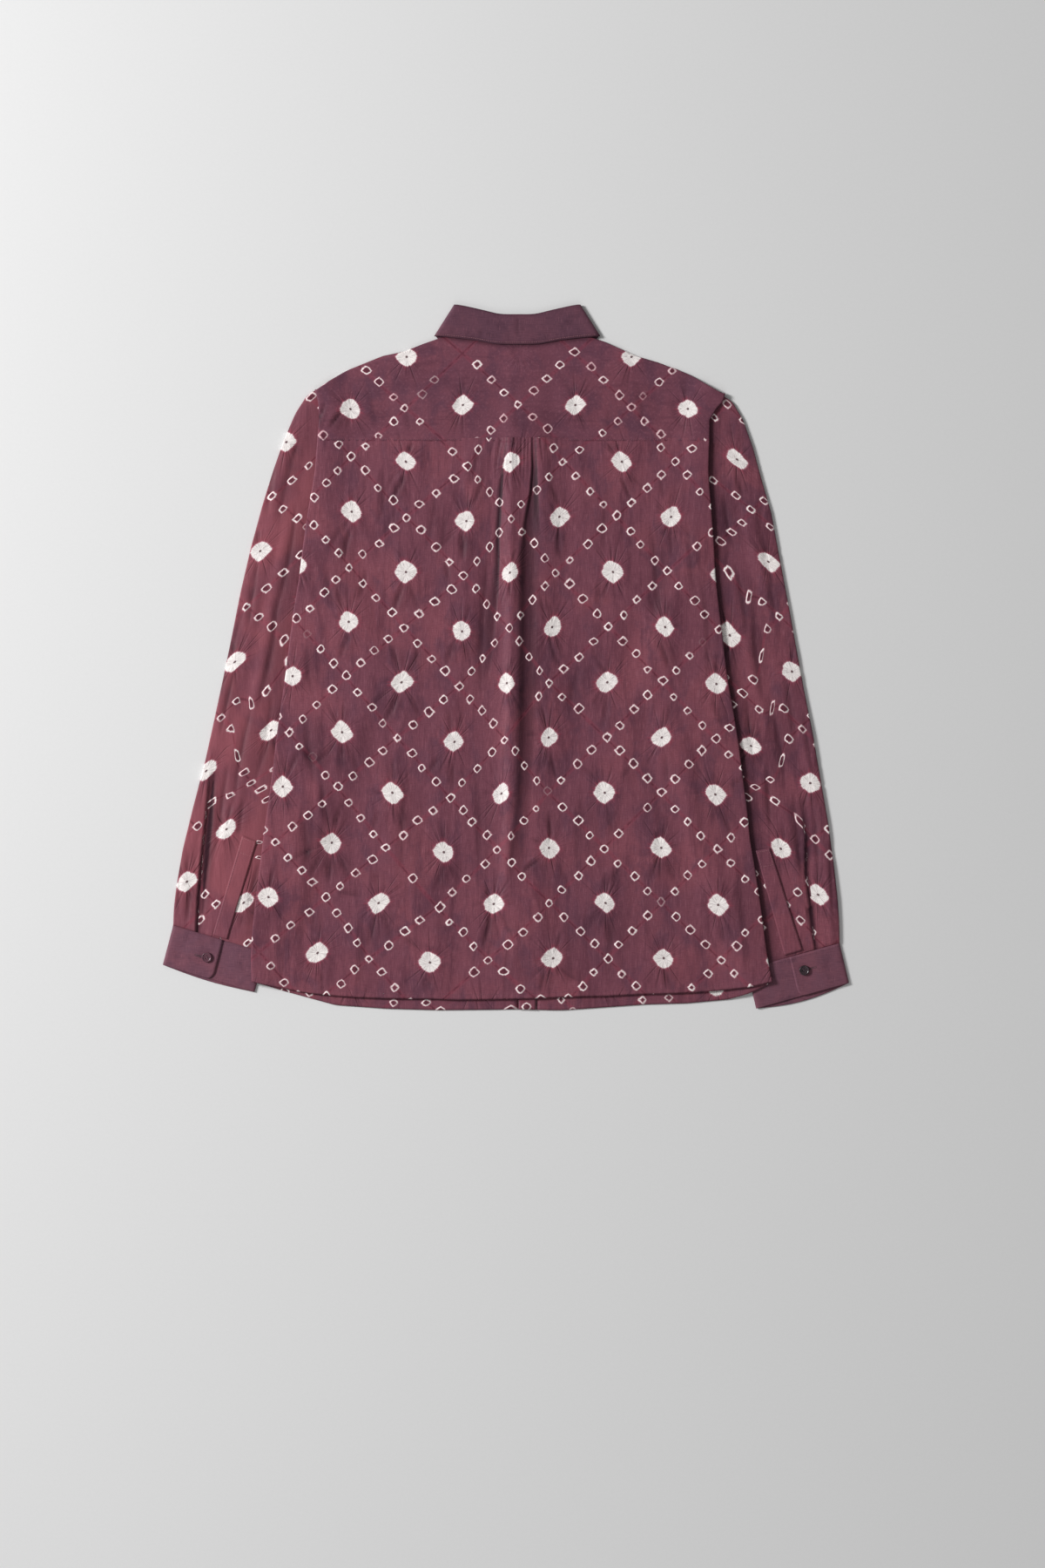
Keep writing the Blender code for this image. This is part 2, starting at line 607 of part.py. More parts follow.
def cuff_path(length, end):
    """A cuff seen from its edge: place along it, height, and whether it is the lower layer."""
    lower = [length - CUFF_BEND] + CUFF_LOWER_PLACES + [CUFF_BEND]
    over = CUFF_OUTER_PLACES + [mix(CUFF_OUTER_PLACES[-1], end, 0.5), end]
    path = [(w, CUFF_UNDER, 0) for w in CUFF_INNER_PLACES]
    path += [(w, CUFF_UNDER + CUFF_BULGE, 0) for w in (CUFF_FREE, length - 6)]
    path += [(length - WALL / 2, FLOOR_PLY + 0.9, 0)]
    path += [(w, FLOOR_PLY, 1) for w in lower]
    path += [(WALL / 2, FLOOR_PLY + 1.1, 0), (2, CUFF_UNDER + 0.7, 0), (14, CUFF_OVER - 0.3, 0)]
    path += [(w, CUFF_OVER, 0) for w in over]
    return path


def make_cuff(side):
    """A band wrapped flat: inner end, far fold, lower layer, near fold, and the lapping end."""
    outer, along, down, length = cuff_frame(side)
    rows = []
    for v in CUFF_ROWS:
        corner = max(v - (CUFF_HEIGHT - CUFF_CORNER), 0)
        cut = CUFF_CORNER - math.sqrt(max(CUFF_CORNER**2 - corner**2, 0))
        row = []
        for w, z, low in cuff_path(length, CUFF_LAP_END - CUFF_CORNER_SHARE * cut):
            gape = CUFFS[side].gape * low * math.sin(math.pi * w / length) * v / CUFF_HEIGHT
            x, y = outer + along * w + down * (v + gape)
            row.append((x, y, z))
        rows.append(row)
    return cloth(f"cuff_{side}", rows, PLAIN_SILK)


def make_sleeve_placket(side):
    """A strip on the sleeve's upper layer, from its stitched box down to the cuff."""
    corners = [np.array(corner, float) for corner in PLACKETS[side]]
    top_a, top_b, foot_b, foot_a = corners
    height = SLEEVE_TOP + SEAM + WALL / 2
    rows = []
    for t in PLACKET_ROWS:
        start, end = mix(top_a, foot_a, t), mix(top_b, foot_b, t)
        rows.append([(*mix(start, end, s), height) for s in (0, 0.5, 1)])
    return cloth(f"sleeve_placket_{side}", rows, PRINTED_SILK)


def make_collar(name, sections, finish):
    """A band folded flat round the neck, from one front edge round the back to the other."""
    rows = []
    for sign, half in ((-1, sections[:0:-1]), (1, sections)):
        for s in half:
            top = np.array([COLLAR_MIDDLE + sign * s.x_top, s.y_top, s.z])
            bottom = np.array([COLLAR_MIDDLE + sign * s.x_bottom, s.y_bottom, s.z])
            rows.append([tuple(mix(top, bottom, t)) for t in COLLAR_ACROSS])
    return cloth(name, rows, finish)


def make_button(name, x, y, bottom, thick, finish):
    """A round button with a raised rim, turned from its profile."""
    mesh = bpy.data.meshes.new(name)
    points = [(r * BUTTON_RADIUS * MM, 0, h * thick * MM) for r, h in BUTTON_PROFILE[::-1]]
    mesh.from_pydata(points, [(i, i + 1) for i in range(len(points) - 1)], [])
    part = add_object(name, mesh, finish)
    part.location = ((x - MIDDLE[0]) * MM, (y - MIDDLE[1]) * MM, bottom * MM)
    turn = part.modifiers.new("turn", "SCREW")
    turn.steps = BUTTON_SIDES
    turn.render_steps = BUTTON_SIDES
    turn.use_merge_vertices = True
    turn.merge_threshold = 0.00001
    return part


def make_cuff_button(side, finish):
    outer, along, down, _ = cuff_frame(side)
    x, y = outer + along * CUFF_BUTTON_ALONG + down * CUFF_BUTTON_DOWN[side]
    seat = CUFF_OVER + WALL / 2 + SEAM
    return make_button(f"button_cuff_{side}", x, y, seat, CUFF_BUTTON_THICK, finish)


for old in list(bpy.data.objects):
    bpy.data.objects.remove(old)
shirt = bpy.data.collections.new("silk_shirt")
bpy.context.scene.collection.children.link(shirt)

make_back()
make_yoke()
make_front("front_left", "l")
make_front("front_right", "r")
make_band("placket_front", 0)
make_band("button_band", PLY)
for side in ("left", "right"):
    make_sleeve(side)
    make_cuff(side)
    make_sleeve_placket(side)
make_collar("collar_fall", FALL_SECTIONS, PLAIN_SILK)
make_collar("collar_stand", STAND_SECTIONS, PLAIN_SILK)
make_cuff_button("left", PLUM_BUTTON)
make_cuff_button("right", DARK_BUTTON)
band_middle = (BAND_LEFT + BAND_RIGHT) / 2
for i in range(FRONT_BUTTONS):
    y = FRONT_BUTTON_TOP - i * FRONT_BUTTON_PITCH
    make_button(f"button_front_{i + 1}", band_middle, y, 0, FRONT_BUTTON_THICK, PLUM_BUTTON)
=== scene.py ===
"""The looks of a tie-dyed silk shirt that lies face down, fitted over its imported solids.

Sizes are in millimetres from the part's own origin: X to the right, Y towards the collar and Z up
from the surface that the shirt lies on. The meshes are made in metres.
"""

import math
from collections import namedtuple

import bpy
import numpy as np
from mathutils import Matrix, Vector
from mathutils.bvhtree import BVHTree


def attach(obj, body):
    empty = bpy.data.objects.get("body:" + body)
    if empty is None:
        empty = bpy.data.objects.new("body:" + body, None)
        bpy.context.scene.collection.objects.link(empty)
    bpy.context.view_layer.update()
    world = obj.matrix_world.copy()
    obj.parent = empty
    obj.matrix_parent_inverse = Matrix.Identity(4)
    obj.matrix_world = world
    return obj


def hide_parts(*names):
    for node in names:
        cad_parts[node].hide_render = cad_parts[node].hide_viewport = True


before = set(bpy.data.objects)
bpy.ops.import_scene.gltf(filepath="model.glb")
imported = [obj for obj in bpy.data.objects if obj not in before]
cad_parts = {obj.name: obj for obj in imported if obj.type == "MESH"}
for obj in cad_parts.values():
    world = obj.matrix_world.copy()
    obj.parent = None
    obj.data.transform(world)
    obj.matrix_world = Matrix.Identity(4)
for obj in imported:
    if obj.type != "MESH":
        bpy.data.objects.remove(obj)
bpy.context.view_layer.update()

MM = 0.001
CLOTH = 0.6  # thickness of a sheet of silk with its turned edges
BAND = 0.9  # thickness of the lined cuffs and collar
FOLD = 1.5  # radius of the folded sides
SEAM = 0.3

# Where the body, yoke and sleeves meet.
YOKE_SEAM = 247.95
SHOULDER = {"left": 302.0, "right": 299.0}
HEM_END = -371.5
UNDERLAP = 2.2


# Small sums.


def mix(a, b, t):
    return a + (b - a) * t


def clip(value):
    return np.clip(value, 0.0, 1.0)


def soft(value):
    value = clip(value)
    return value * value * (3 - 2 * value)


def bell(offset, half):
    return np.exp(-((offset / half) ** 2))


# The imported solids, read for their upper faces and their edges.


class Solid:
    """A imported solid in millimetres."""

    def __init__(self, name):
        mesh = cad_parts[name].data
        flat = np.zeros(len(mesh.vertices) * 3, np.float32)
        mesh.vertices.foreach_get("co", flat)
        self.points = flat.reshape(-1, 3).astype(float) / MM
        mesh.calc_loop_triangles()
        corners = np.zeros(len(mesh.loop_triangles) * 3, np.int32)
        mesh.loop_triangles.foreach_get("vertices", corners)
        self.faces = corners.reshape(-1, 3)
        self.tree = BVHTree.FromPolygons(self.points.tolist(), self.faces.tolist())
        self.edges = np.vstack([self.faces[:, pair] for pair in ([0, 1], [1, 2], [2, 0])])

    def span(self, axis, at):
        """Lowest and highest place along one axis, 0 or 1, on a cut across the other."""
        beside = self.points[:, 1 - axis]
        across = beside - min(max(at, beside.min() + 0.05), beside.max() - 0.05)
        a, b = self.edges[:, 0], self.edges[:, 1]
        crossed = (across[a] * across[b] <= 0) & (across[a] != across[b])
        a, b = a[crossed], b[crossed]
        t = across[a] / (across[a] - across[b])
        places = mix(self.points[a, axis], self.points[b, axis], t)
        return float(places.min()), float(places.max())

    def edge(self, axis, side, low, high, count=60):
        """An edge as a curve: the lowest (side 0) or highest (side 1) place, read at any cut."""
        cuts = np.linspace(low, high, count)
        places = np.array([self.span(axis, at)[side] for at in cuts])
        return lambda at: np.interp(at, cuts, places)

    def drop(self, x, y):
        """Height of the upper face at a grid of places, and nan beside the solid."""
        z = np.full(x.shape, np.nan)
        for place in np.ndindex(x.shape):
            hit = self.tree.ray_cast(Vector((x[place], y[place], 100)), Vector((0, 0, -1)))[0]
            if hit:
                z[place] = hit.z
        return z

    def top(self, x, y):
        """Height of the upper face at a grid of places, carried on past its edges."""
        z = self.drop(x, y)
        for rows in (z, z.T):
            for row in rows:
                known = ~np.isnan(row)
                if known.any() and not known.all():
                    steps = np.arange(len(row))
                    row[~known] = np.interp(steps[~known], steps[known], row[known])
        return z


def smoothed(grid, passes):
    """A grid of heights with its facets rubbed down, first one way and then the other."""
    for _ in range(2 * passes):
        padded = np.pad(grid, ((1, 1), (0, 0)), mode="edge")
        grid = (0.5 * padded[1:-1] + 0.25 * (padded[:-2] + padded[2:])).T
    return grid


# Creases: the two ends, half the width, the depth, how far it bows to the side,
# and whether it starts at full depth in a seam.
Crease = namedtuple("Crease", "x0 y0 x1 y1 half depth bow seam", defaults=(0, False))


def crease_rows(*rows):
    return [Crease(*row) for row in rows]


def pressed(creases, x, y):
    """How far creases push the cloth down or up, a trough with a low ridge along each side, and
    how much shade is painted along them, 0 to 1 and more on the side away from the window."""
    lift, shade = np.zeros(x.shape), np.zeros(x.shape)
    for c in creases:
        dx, dy = c.x1 - c.x0, c.y1 - c.y0
        length = math.hypot(dx, dy)
        along = ((x - c.x0) * dx + (y - c.y0) * dy) / length**2
        aside = ((x - c.x0) * dy - (y - c.y0) * dx) / length
        near = (along > 0) & (along < 1) & (np.abs(aside) < 4 * c.half + abs(c.bow))
        t = along[near]
        if c.seam:
            fade = np.cos(t * math.pi / 2) ** 0.8
        else:
            fade = np.sin(t * math.pi) ** 0.7
        off = aside[near] - c.bow * np.sin(t * math.pi)
        half = c.half * (0.5 + 0.4 * fade)
        ridges = bell(off - 1.8 * half, half) + bell(off + 1.8 * half, half)
        trough = 0.5 * bell(off, half) + 0.5 * bell(off, 0.4 * half)
        lift[near] += c.depth * fade * (0.2 * ridges - trough)
        lee = off * math.copysign(1, dy)
        cast = bell(lee - 0.5 * half, np.where(lee > 0.5 * half, 1.9, 0.8) * half)
        shade[near] += c.depth * fade * (0.45 * cast + 0.45 * bell(off, 0.4 * half))
    return lift, shade


# A pleat's edge, a row for each station along it: where the edge is, how far the cloth steps up
# (or down, below 0) on its right, how far to the right that reaches, how much shade is painted on
# the lower side, how far to that side the painted shade reaches, and how wide the step itself is.
Edge = namedtuple("Edge", "y x rise reach dark dark_reach width", defaults=(1.4,))


def edge_rows(*rows):
    return [Edge(*row) for row in rows]


def pleated(pleats, x, y):
    """How far pleats lift or sink the cloth, and how much shade is painted beside their edges."""
    lift, shade = np.zeros(x.shape), np.zeros(x.shape)
    for pleat in pleats:
        stations = sorted(pleat, key=lambda station: station.y)
        ys = [station.y for station in stations]
        middle, rise, reach, dark, dark_reach, width = (
            np.interp(y, ys, [getattr(station, key) for station in stations])
            for key in ("x", "rise", "reach", "dark", "dark_reach", "width")
        )
        off = x - middle
        inside = (y >= ys[0]) & (y <= ys[-1])
        lift += inside * rise * soft(off / width + 0.5) * bell(np.maximum(off, 0), reach)
        low = np.where(rise > 0, -off, off)
        cast = soft(low / width + 1) * np.exp(-((np.maximum(low, 0) / dark_reach) ** 4))
        shade += inside * dark * cast
    return lift, shade


def knot_creases(centres, seed, reach, depth):
    """Short creases that run out of each tied spot, most of them up and down the cloth."""
    chance = np.random.default_rng(seed)
    creases = []
    for x, y in centres:
        for turn in (90, 90, -90, -90, 0, 180, 120, -60):
            angle = math.radians(turn + chance.normal(0, 16))
            start = chance.uniform(4, 8)
            length = reach * chance.uniform(0.35, 1.0)
            if abs(turn) != 90:
                length *= 0.6
            strength = depth * chance.uniform(0.2, 1.0)
            half, bow = chance.uniform(1.8, 3.2), chance.normal(0, 1.5)
            (x0, y0), (x1, y1) = (
                (x + away * math.cos(angle), y + away * math.sin(angle))
                for away in (start, start + length)
            )
            creases.append(Crease(x0, y0, x1, y1, half, strength, bow))
    return creases


# The dyer's chart: each piece has its own map to steps along the two slanting ring lines.
# A ring is tied at every step of each ring line, and a spot in the middle of each square.
REPEAT = 127.0
Column = namedtuple("Column", "p top middle bottom")
BODY_COLUMNS = [
    Column(-2.0, -237, -245, -273),
    Column(-1.5, -177, -184, -208),
    Column(-1.0, -115, -120, -146),
    Column(-0.5, -44, -54, -78),
    Column(0.0, 5, 1, -14),
    Column(0.5, 67, 50, 51),
    Column(1.0, 133, 116, 114),
    Column(1.5, 194, 180, 179),
    Column(2.0, 257, 241, 243),
]
BODY_LEVELS = (225.0, -30.0, -280.0)
BODY_RISE = (8, 7, 1, -4, 0, 1, 1, 1, -1)  # of the rows of spots, at each column
BODY_ROW = -156.0
BODY_PITCH = 126.5


def chart(p, q):
    """Steps along the two ring lines, from places across and down in repeats."""
    return 4 * (p + q + 0.5), 4 * (p - q + 0.5)


def body_chart(x, y):
    top, middle, bottom = BODY_LEVELS
    weight_top = (y - middle) * (y - bottom) / ((top - middle) * (top - bottom))
    weight_middle = (y - top) * (y - bottom) / ((middle - top) * (middle - bottom))
    weight_bottom = (y - top) * (y - middle) / ((bottom - top) * (bottom - middle))
    lines = [
        c.top * weight_top + c.middle * weight_middle + c.bottom * weight_bottom
        for c in BODY_COLUMNS
    ]
    p = BODY_COLUMNS[0].p + (x - lines[0]) / REPEAT
    for a, b, left, right in zip(BODY_COLUMNS, BODY_COLUMNS[1:], lines, lines[1:]):
        p = np.where(x >= left, a.p + (b.p - a.p) * (x - left) / (right - left), p)
    p = np.where(x >= lines[-1], BODY_COLUMNS[-1].p + (x - lines[-1]) / REPEAT, p)
    rise = np.interp(p, [c.p for c in BODY_COLUMNS], BODY_RISE)
    return chart(p, (BODY_ROW + rise - y) / BODY_PITCH)


YOKE_MIDDLE = 15


def yoke_chart(x, y):
    droop = 5 * soft((np.abs(x - YOKE_MIDDLE) - 40) / 120)
    return chart((x - YOKE_MIDDLE) / 129, (290 - y - droop) / 118 - 3.5)


# The middle line of a sleeve's chart, a row for each repeat: x, y and the repeat's number.
Axis = namedtuple("Axis", "x y q")
SLEEVE_AXES = {
    "left": [
        Axis(-252, 247, -5),
        Axis(-282, 122, -4),
        Axis(-311, -5, -3),
        Axis(-344, -130, -2),
        Axis(-366, -257, -1),
    ],
    "right": [
        Axis(265, 227, -5),
        Axis(301, 110, -4),
        Axis(328, -16, -3),
        Axis(349, -144, -2),
        Axis(358, -272, -1),
    ],
}


# Where a pleat or a placket takes up cloth, the chart slides on: the two ends of its line, how
# far the chart slides on the side towards the body, and how far below the top it takes to do so.
Slide = namedtuple("Slide", "x0 y0 x1 y1 dx dy fade")
SLIDES = {
    "left": [
        Slide(-339, -120, -355, -310, 33, 17, 70),
        Slide(-345, -200, -355, -310, 0, 22, 70),
        Slide(-292, -200, -327, -322, -44, -64, 40),
    ],
    "right": [Slide(338, -150, 354, -330, -27, 23, 60)],
}


# Where the upper layer of a sleeve has shifted softly, on the side towards the body of a
# slanting line: a place on the line, how far x goes with y along it, how far up and down the
# shift reaches, and how far the chart slides there.
Drift = namedtuple("Drift", "x y slant reach dx dy")
DRIFTS = {
    "left": Drift(-306, -85, 0.264, 80, 11, 30),
    "right": Drift(301, -38, -0.173, 120, -10, 36),
}
DRIFT_WIDTH = 24.0


def sleeve_chart(side, x, y):
    inward = 1 if side == "left" else -1
    slid_x, slid_y = x, y
    for slide in SLIDES[side]:
        down = clip((slide.y0 - y) / (slide.y0 - slide.y1))
        within = inward * (x - mix(slide.x0, slide.x1, down)) > 0
        amount = within * soft((slide.y0 - y) / slide.fade)
        slid_x, slid_y = slid_x + slide.dx * amount, slid_y + slide.dy * amount
    drift = DRIFTS[side]
    beyond = inward * (x - drift.x - (y - drift.y) * drift.slant)
    amount = soft(beyond / DRIFT_WIDTH + 0.5) * np.exp(-(((y - drift.y) / drift.reach) ** 4))
    x, y = slid_x + drift.dx * amount, slid_y + drift.dy * amount
    axis = sorted(SLEEVE_AXES[side], key=lambda row: row.y)
    ys = [row.y for row in axis]
    slope = (axis[-1].x - axis[0].x) / (axis[-1].y - axis[0].y)
    middle = np.interp(y, ys, [row.x for row in axis])
    outside = np.maximum(y - ys[-1], 0) + np.minimum(y - ys[0], 0)
    middle = middle + outside * slope
    q = np.interp(y, ys, [row.q for row in axis]) - outside / REPEAT
    lean = math.cos(math.atan(slope))
    p = (x - middle) * lean / REPEAT
    q = q + (x - middle) * slope * lean / REPEAT
    return chart(p, q)


def tied_places(steps, x, y):
    """Where the middle of each tied spot of a chart falls on a grid of cloth."""
    i, j = steps
    places = []
    for a in range(math.floor(i.min() / 4), math.ceil(i.max() / 4)):
        for b in range(math.floor(j.min() / 4), math.ceil(j.max() / 4)):
            away = (i - 4 * a - 2) ** 2 + (j - 4 * b - 2) ** 2
            nearest = np.unravel_index(np.argmin(away), away.shape)
            if away[nearest] < 0.1:
                places.append((x[nearest], y[nearest]))
    return places


# Cloth as grids of points.


def ride(piece, slot, *nodes):
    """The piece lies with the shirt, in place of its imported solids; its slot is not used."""
    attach(piece, "root")
    for node in nodes:
        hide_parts(node)


def smooth_piece(name, points, faces, finish):
    """A smoothly shaded piece, from points in metres and the faces between them."""
    mesh = bpy.data.meshes.new(name)
    mesh.from_pydata(points, [], faces)
    mesh.polygons.foreach_set("use_smooth", np.ones(len(faces), bool))
    mesh.materials.append(finish)
    piece = bpy.data.objects.new(name, mesh)
    bpy.context.scene.collection.objects.link(piece)
    return piece


def grid_piece(name, x, y, z, finish, steps=None, painted_shade=None):
    """A piece through a grid of points, row by row, with the dyer's chart as its UV map and the
    shade painted in its creases, beside its pleats and in cast shadows, as an attribute."""
    points = np.stack([x, y, z], axis=-1).reshape(-1, 3) * MM
    index = np.arange(x.size).reshape(x.shape)
    faces = np.stack([index[:-1, :-1], index[1:, :-1], index[1:, 1:], index[:-1, 1:]], axis=-1)
    faces = faces.reshape(-1, 4)
    piece = smooth_piece(name, points.tolist(), faces.tolist(), finish)
    if steps is not None:
        layer = piece.data.uv_layers.new(name="dye")
        i, j = (part.reshape(-1)[faces.reshape(-1)] for part in steps)
        layer.data.foreach_set("uv", np.stack([i, j], axis=-1).reshape(-1).astype(np.float32))
    deep = piece.data.attributes.new("painted_shade", "FLOAT", "POINT")
    if painted_shade is not None:
        deep.data.foreach_set("value", painted_shade.reshape(-1).astype(np.float32))
    return piece


class Sheet:
    """A panel of cloth whose outer face runs through a grid of points."""

    def __init__(self, name, x, y, z, steps, finish, thickness=CLOTH, offset=-1, painted_shade=None):
        self.piece = grid_piece(name, x, y, z, finish, steps, painted_shade)
        if thickness:
            wall = self.piece.modifiers.new("wall", "SOLIDIFY")
            wall.thickness = thickness * MM
            wall.offset = offset
            wall.use_even_offset = False
        mesh = self.piece.data
        points = [vertex.co / MM for vertex in mesh.vertices]
        self.tree = BVHTree.FromPolygons(points, [tuple(face.vertices) for face in mesh.polygons])
        self.proud = (thickness or 0) * (1 + offset) / 2

    def height(self, x, y):
        """Height of the outer face at one place, or None beside the sheet."""
        hit = self.tree.ray_cast(Vector((x, y, 100)), Vector((0, 0, -1)))[0]
        return hit.z + self.proud if hit else None


def folded_sides(x, y, z, underlap, flat=()):
    """The grid with both of its sides turned under in a round fold."""
    turns = np.radians([180, 150, 120, 90, 60, 30])

    def side(column, outward):
        xs = [x[:, column] - outward * underlap]
        zs = [z[:, column] - 2 * FOLD]
        for turn in turns:
            xs.append(x[:, column] + outward * FOLD * math.sin(turn))
            zs.append(z[:, column] - FOLD * (1 - math.cos(turn)))
        ys = [y[:, column]] * len(xs)
        return tuple(np.stack(grid, axis=1) for grid in (xs, ys, zs))

    left, right = side(0, -1), side(-1, 1)
    folded = tuple(
        np.hstack([one, grid, other[:, ::-1]]) for one, grid, other in zip(left, (x, y, z), right)
    )
    return folded + tuple(np.pad(grid, ((0, 0), (7, 7)), mode="edge") for grid in flat)


def places(*stretches):
    """Places along a line: each stretch has its start, its end and its spacing."""
    runs = [
        np.linspace(a, b, max(round(abs(b - a) / step), 1), endpoint=False)
        for a, b, step in stretches
    ]
    return np.append(np.concatenate(runs), stretches[-1][1])


def panel(solid, columns, rows, ends, top, bottom, inset):
    """A grid between a panel's own edges. columns and rows run from 0 to 1, and ends are the
    heights of the first and last row at the panel's sides."""
    low, high = sorted((ends[0] - 0.5, ends[1] + 0.5))
    left = solid.edge(0, 0, low, high)
    right = solid.edge(0, 1, low, high)
    at_side = mix(ends[0], ends[1], rows)[:, None]
    x = mix(left(at_side) + inset, right(at_side) - inset, columns[None, :])
    y = mix(top(x), bottom(x), rows[:, None])
    return x, y


def laid_height(solid, x, y, margin, passes):
    """Smoothed upper face of a solid under a grid, read a little inside its edges."""
    x_in = np.clip(x, x.min(axis=1, keepdims=True) + margin, x.max(axis=1, keepdims=True) - margin)
    y_in = np.clip(y, y.min(axis=0, keepdims=True) + margin, y.max(axis=0, keepdims=True) - margin)
    return smoothed(solid.top(x_in, y_in), passes)


def even(value):
    return lambda at: np.full(np.shape(at), float(value))


# The back and the yoke.


GATHERS = crease_rows(
    (-6, 249, -12, 205, 1.9, 1.0, 1, True), (6, 249, 5, 238, 1.3, 0.6, 0, True),
    (10, 249, 8.5, 222, 1.5, 0.8, 0, True), (14, 249, 13, 206, 1.3, 0.7, 0, True),
    (18, 249, 17.5, 196, 1.7, 1.0, 0, True), (22.5, 249, 20, 186, 1.6, 0.9, 0, True),
    (26, 249, 25, 202, 1.4, 0.8, 0, True), (39.5, 249, 43, 218, 1.4, 1.1, 0, True),
    (46, 249, 49, 226, 1.5, 0.5, 0, True), (-14, 249, -20, 214, 1.6, 0.5, 0, True),
)
PLEATS = [
    edge_rows(
        (249, 1, 0.6, 6, 0.5, 1.5), (220, -2, 1.6, 10, 0.9, 3), (195, -4.2, 1.4, 13, 1.0, 5),
        (135, -7.6, 1.5, 15, 1.0, 6), (105, -7.6, 1.4, 16, 0.85, 6.5), (75, -9, 1.0, 17, 0.6, 9),
        (30, -13, 0.8, 17, 0.35, 12), (-50, -22, 0, 17, 0, 12),
    ),
    edge_rows(
        (249, 29.5, -0.6, 4, 0.7, 1.5), (220, 30, -1.6, 6, 0.9, 2.5),
        (190, 28, -2.4, 9, 0.85, 6, 2), (155, 22, -2.0, 16, 0.82, 13, 5),
        (115, 19, -2.1, 20, 0.82, 18, 9), (50, 19, -2.2, 22, 0.82, 20, 11),
        (-20, 18, -2.2, 22, 0.8, 19, 11), (-90, 17, -2.1, 21, 0.75, 17, 11),
        (-150, 15, -1.9, 20, 0.65, 14, 10), (-200, 11, -1.4, 18, 0.45, 12, 9),
        (-290, 4, 0, 18, 0, 12),
    ),
    edge_rows(
        (249, 34, 0.4, 6, 0.6, 1.5), (215, 35.5, 0.6, 10, 0.9, 3), (190, 36.5, 0.6, 14, 0.9, 4),
        (160, 38, 0.3, 18, 0.5, 6), (120, 41, 0, 20, 0, 6),
    ),
    edge_rows(
        (249, 7, 0.5, 2.5, 0.6, 1.2), (225, 5.5, 0.8, 4, 0.6, 1.5), (205, 4, 0, 4, 0, 1.5),
    ),
]
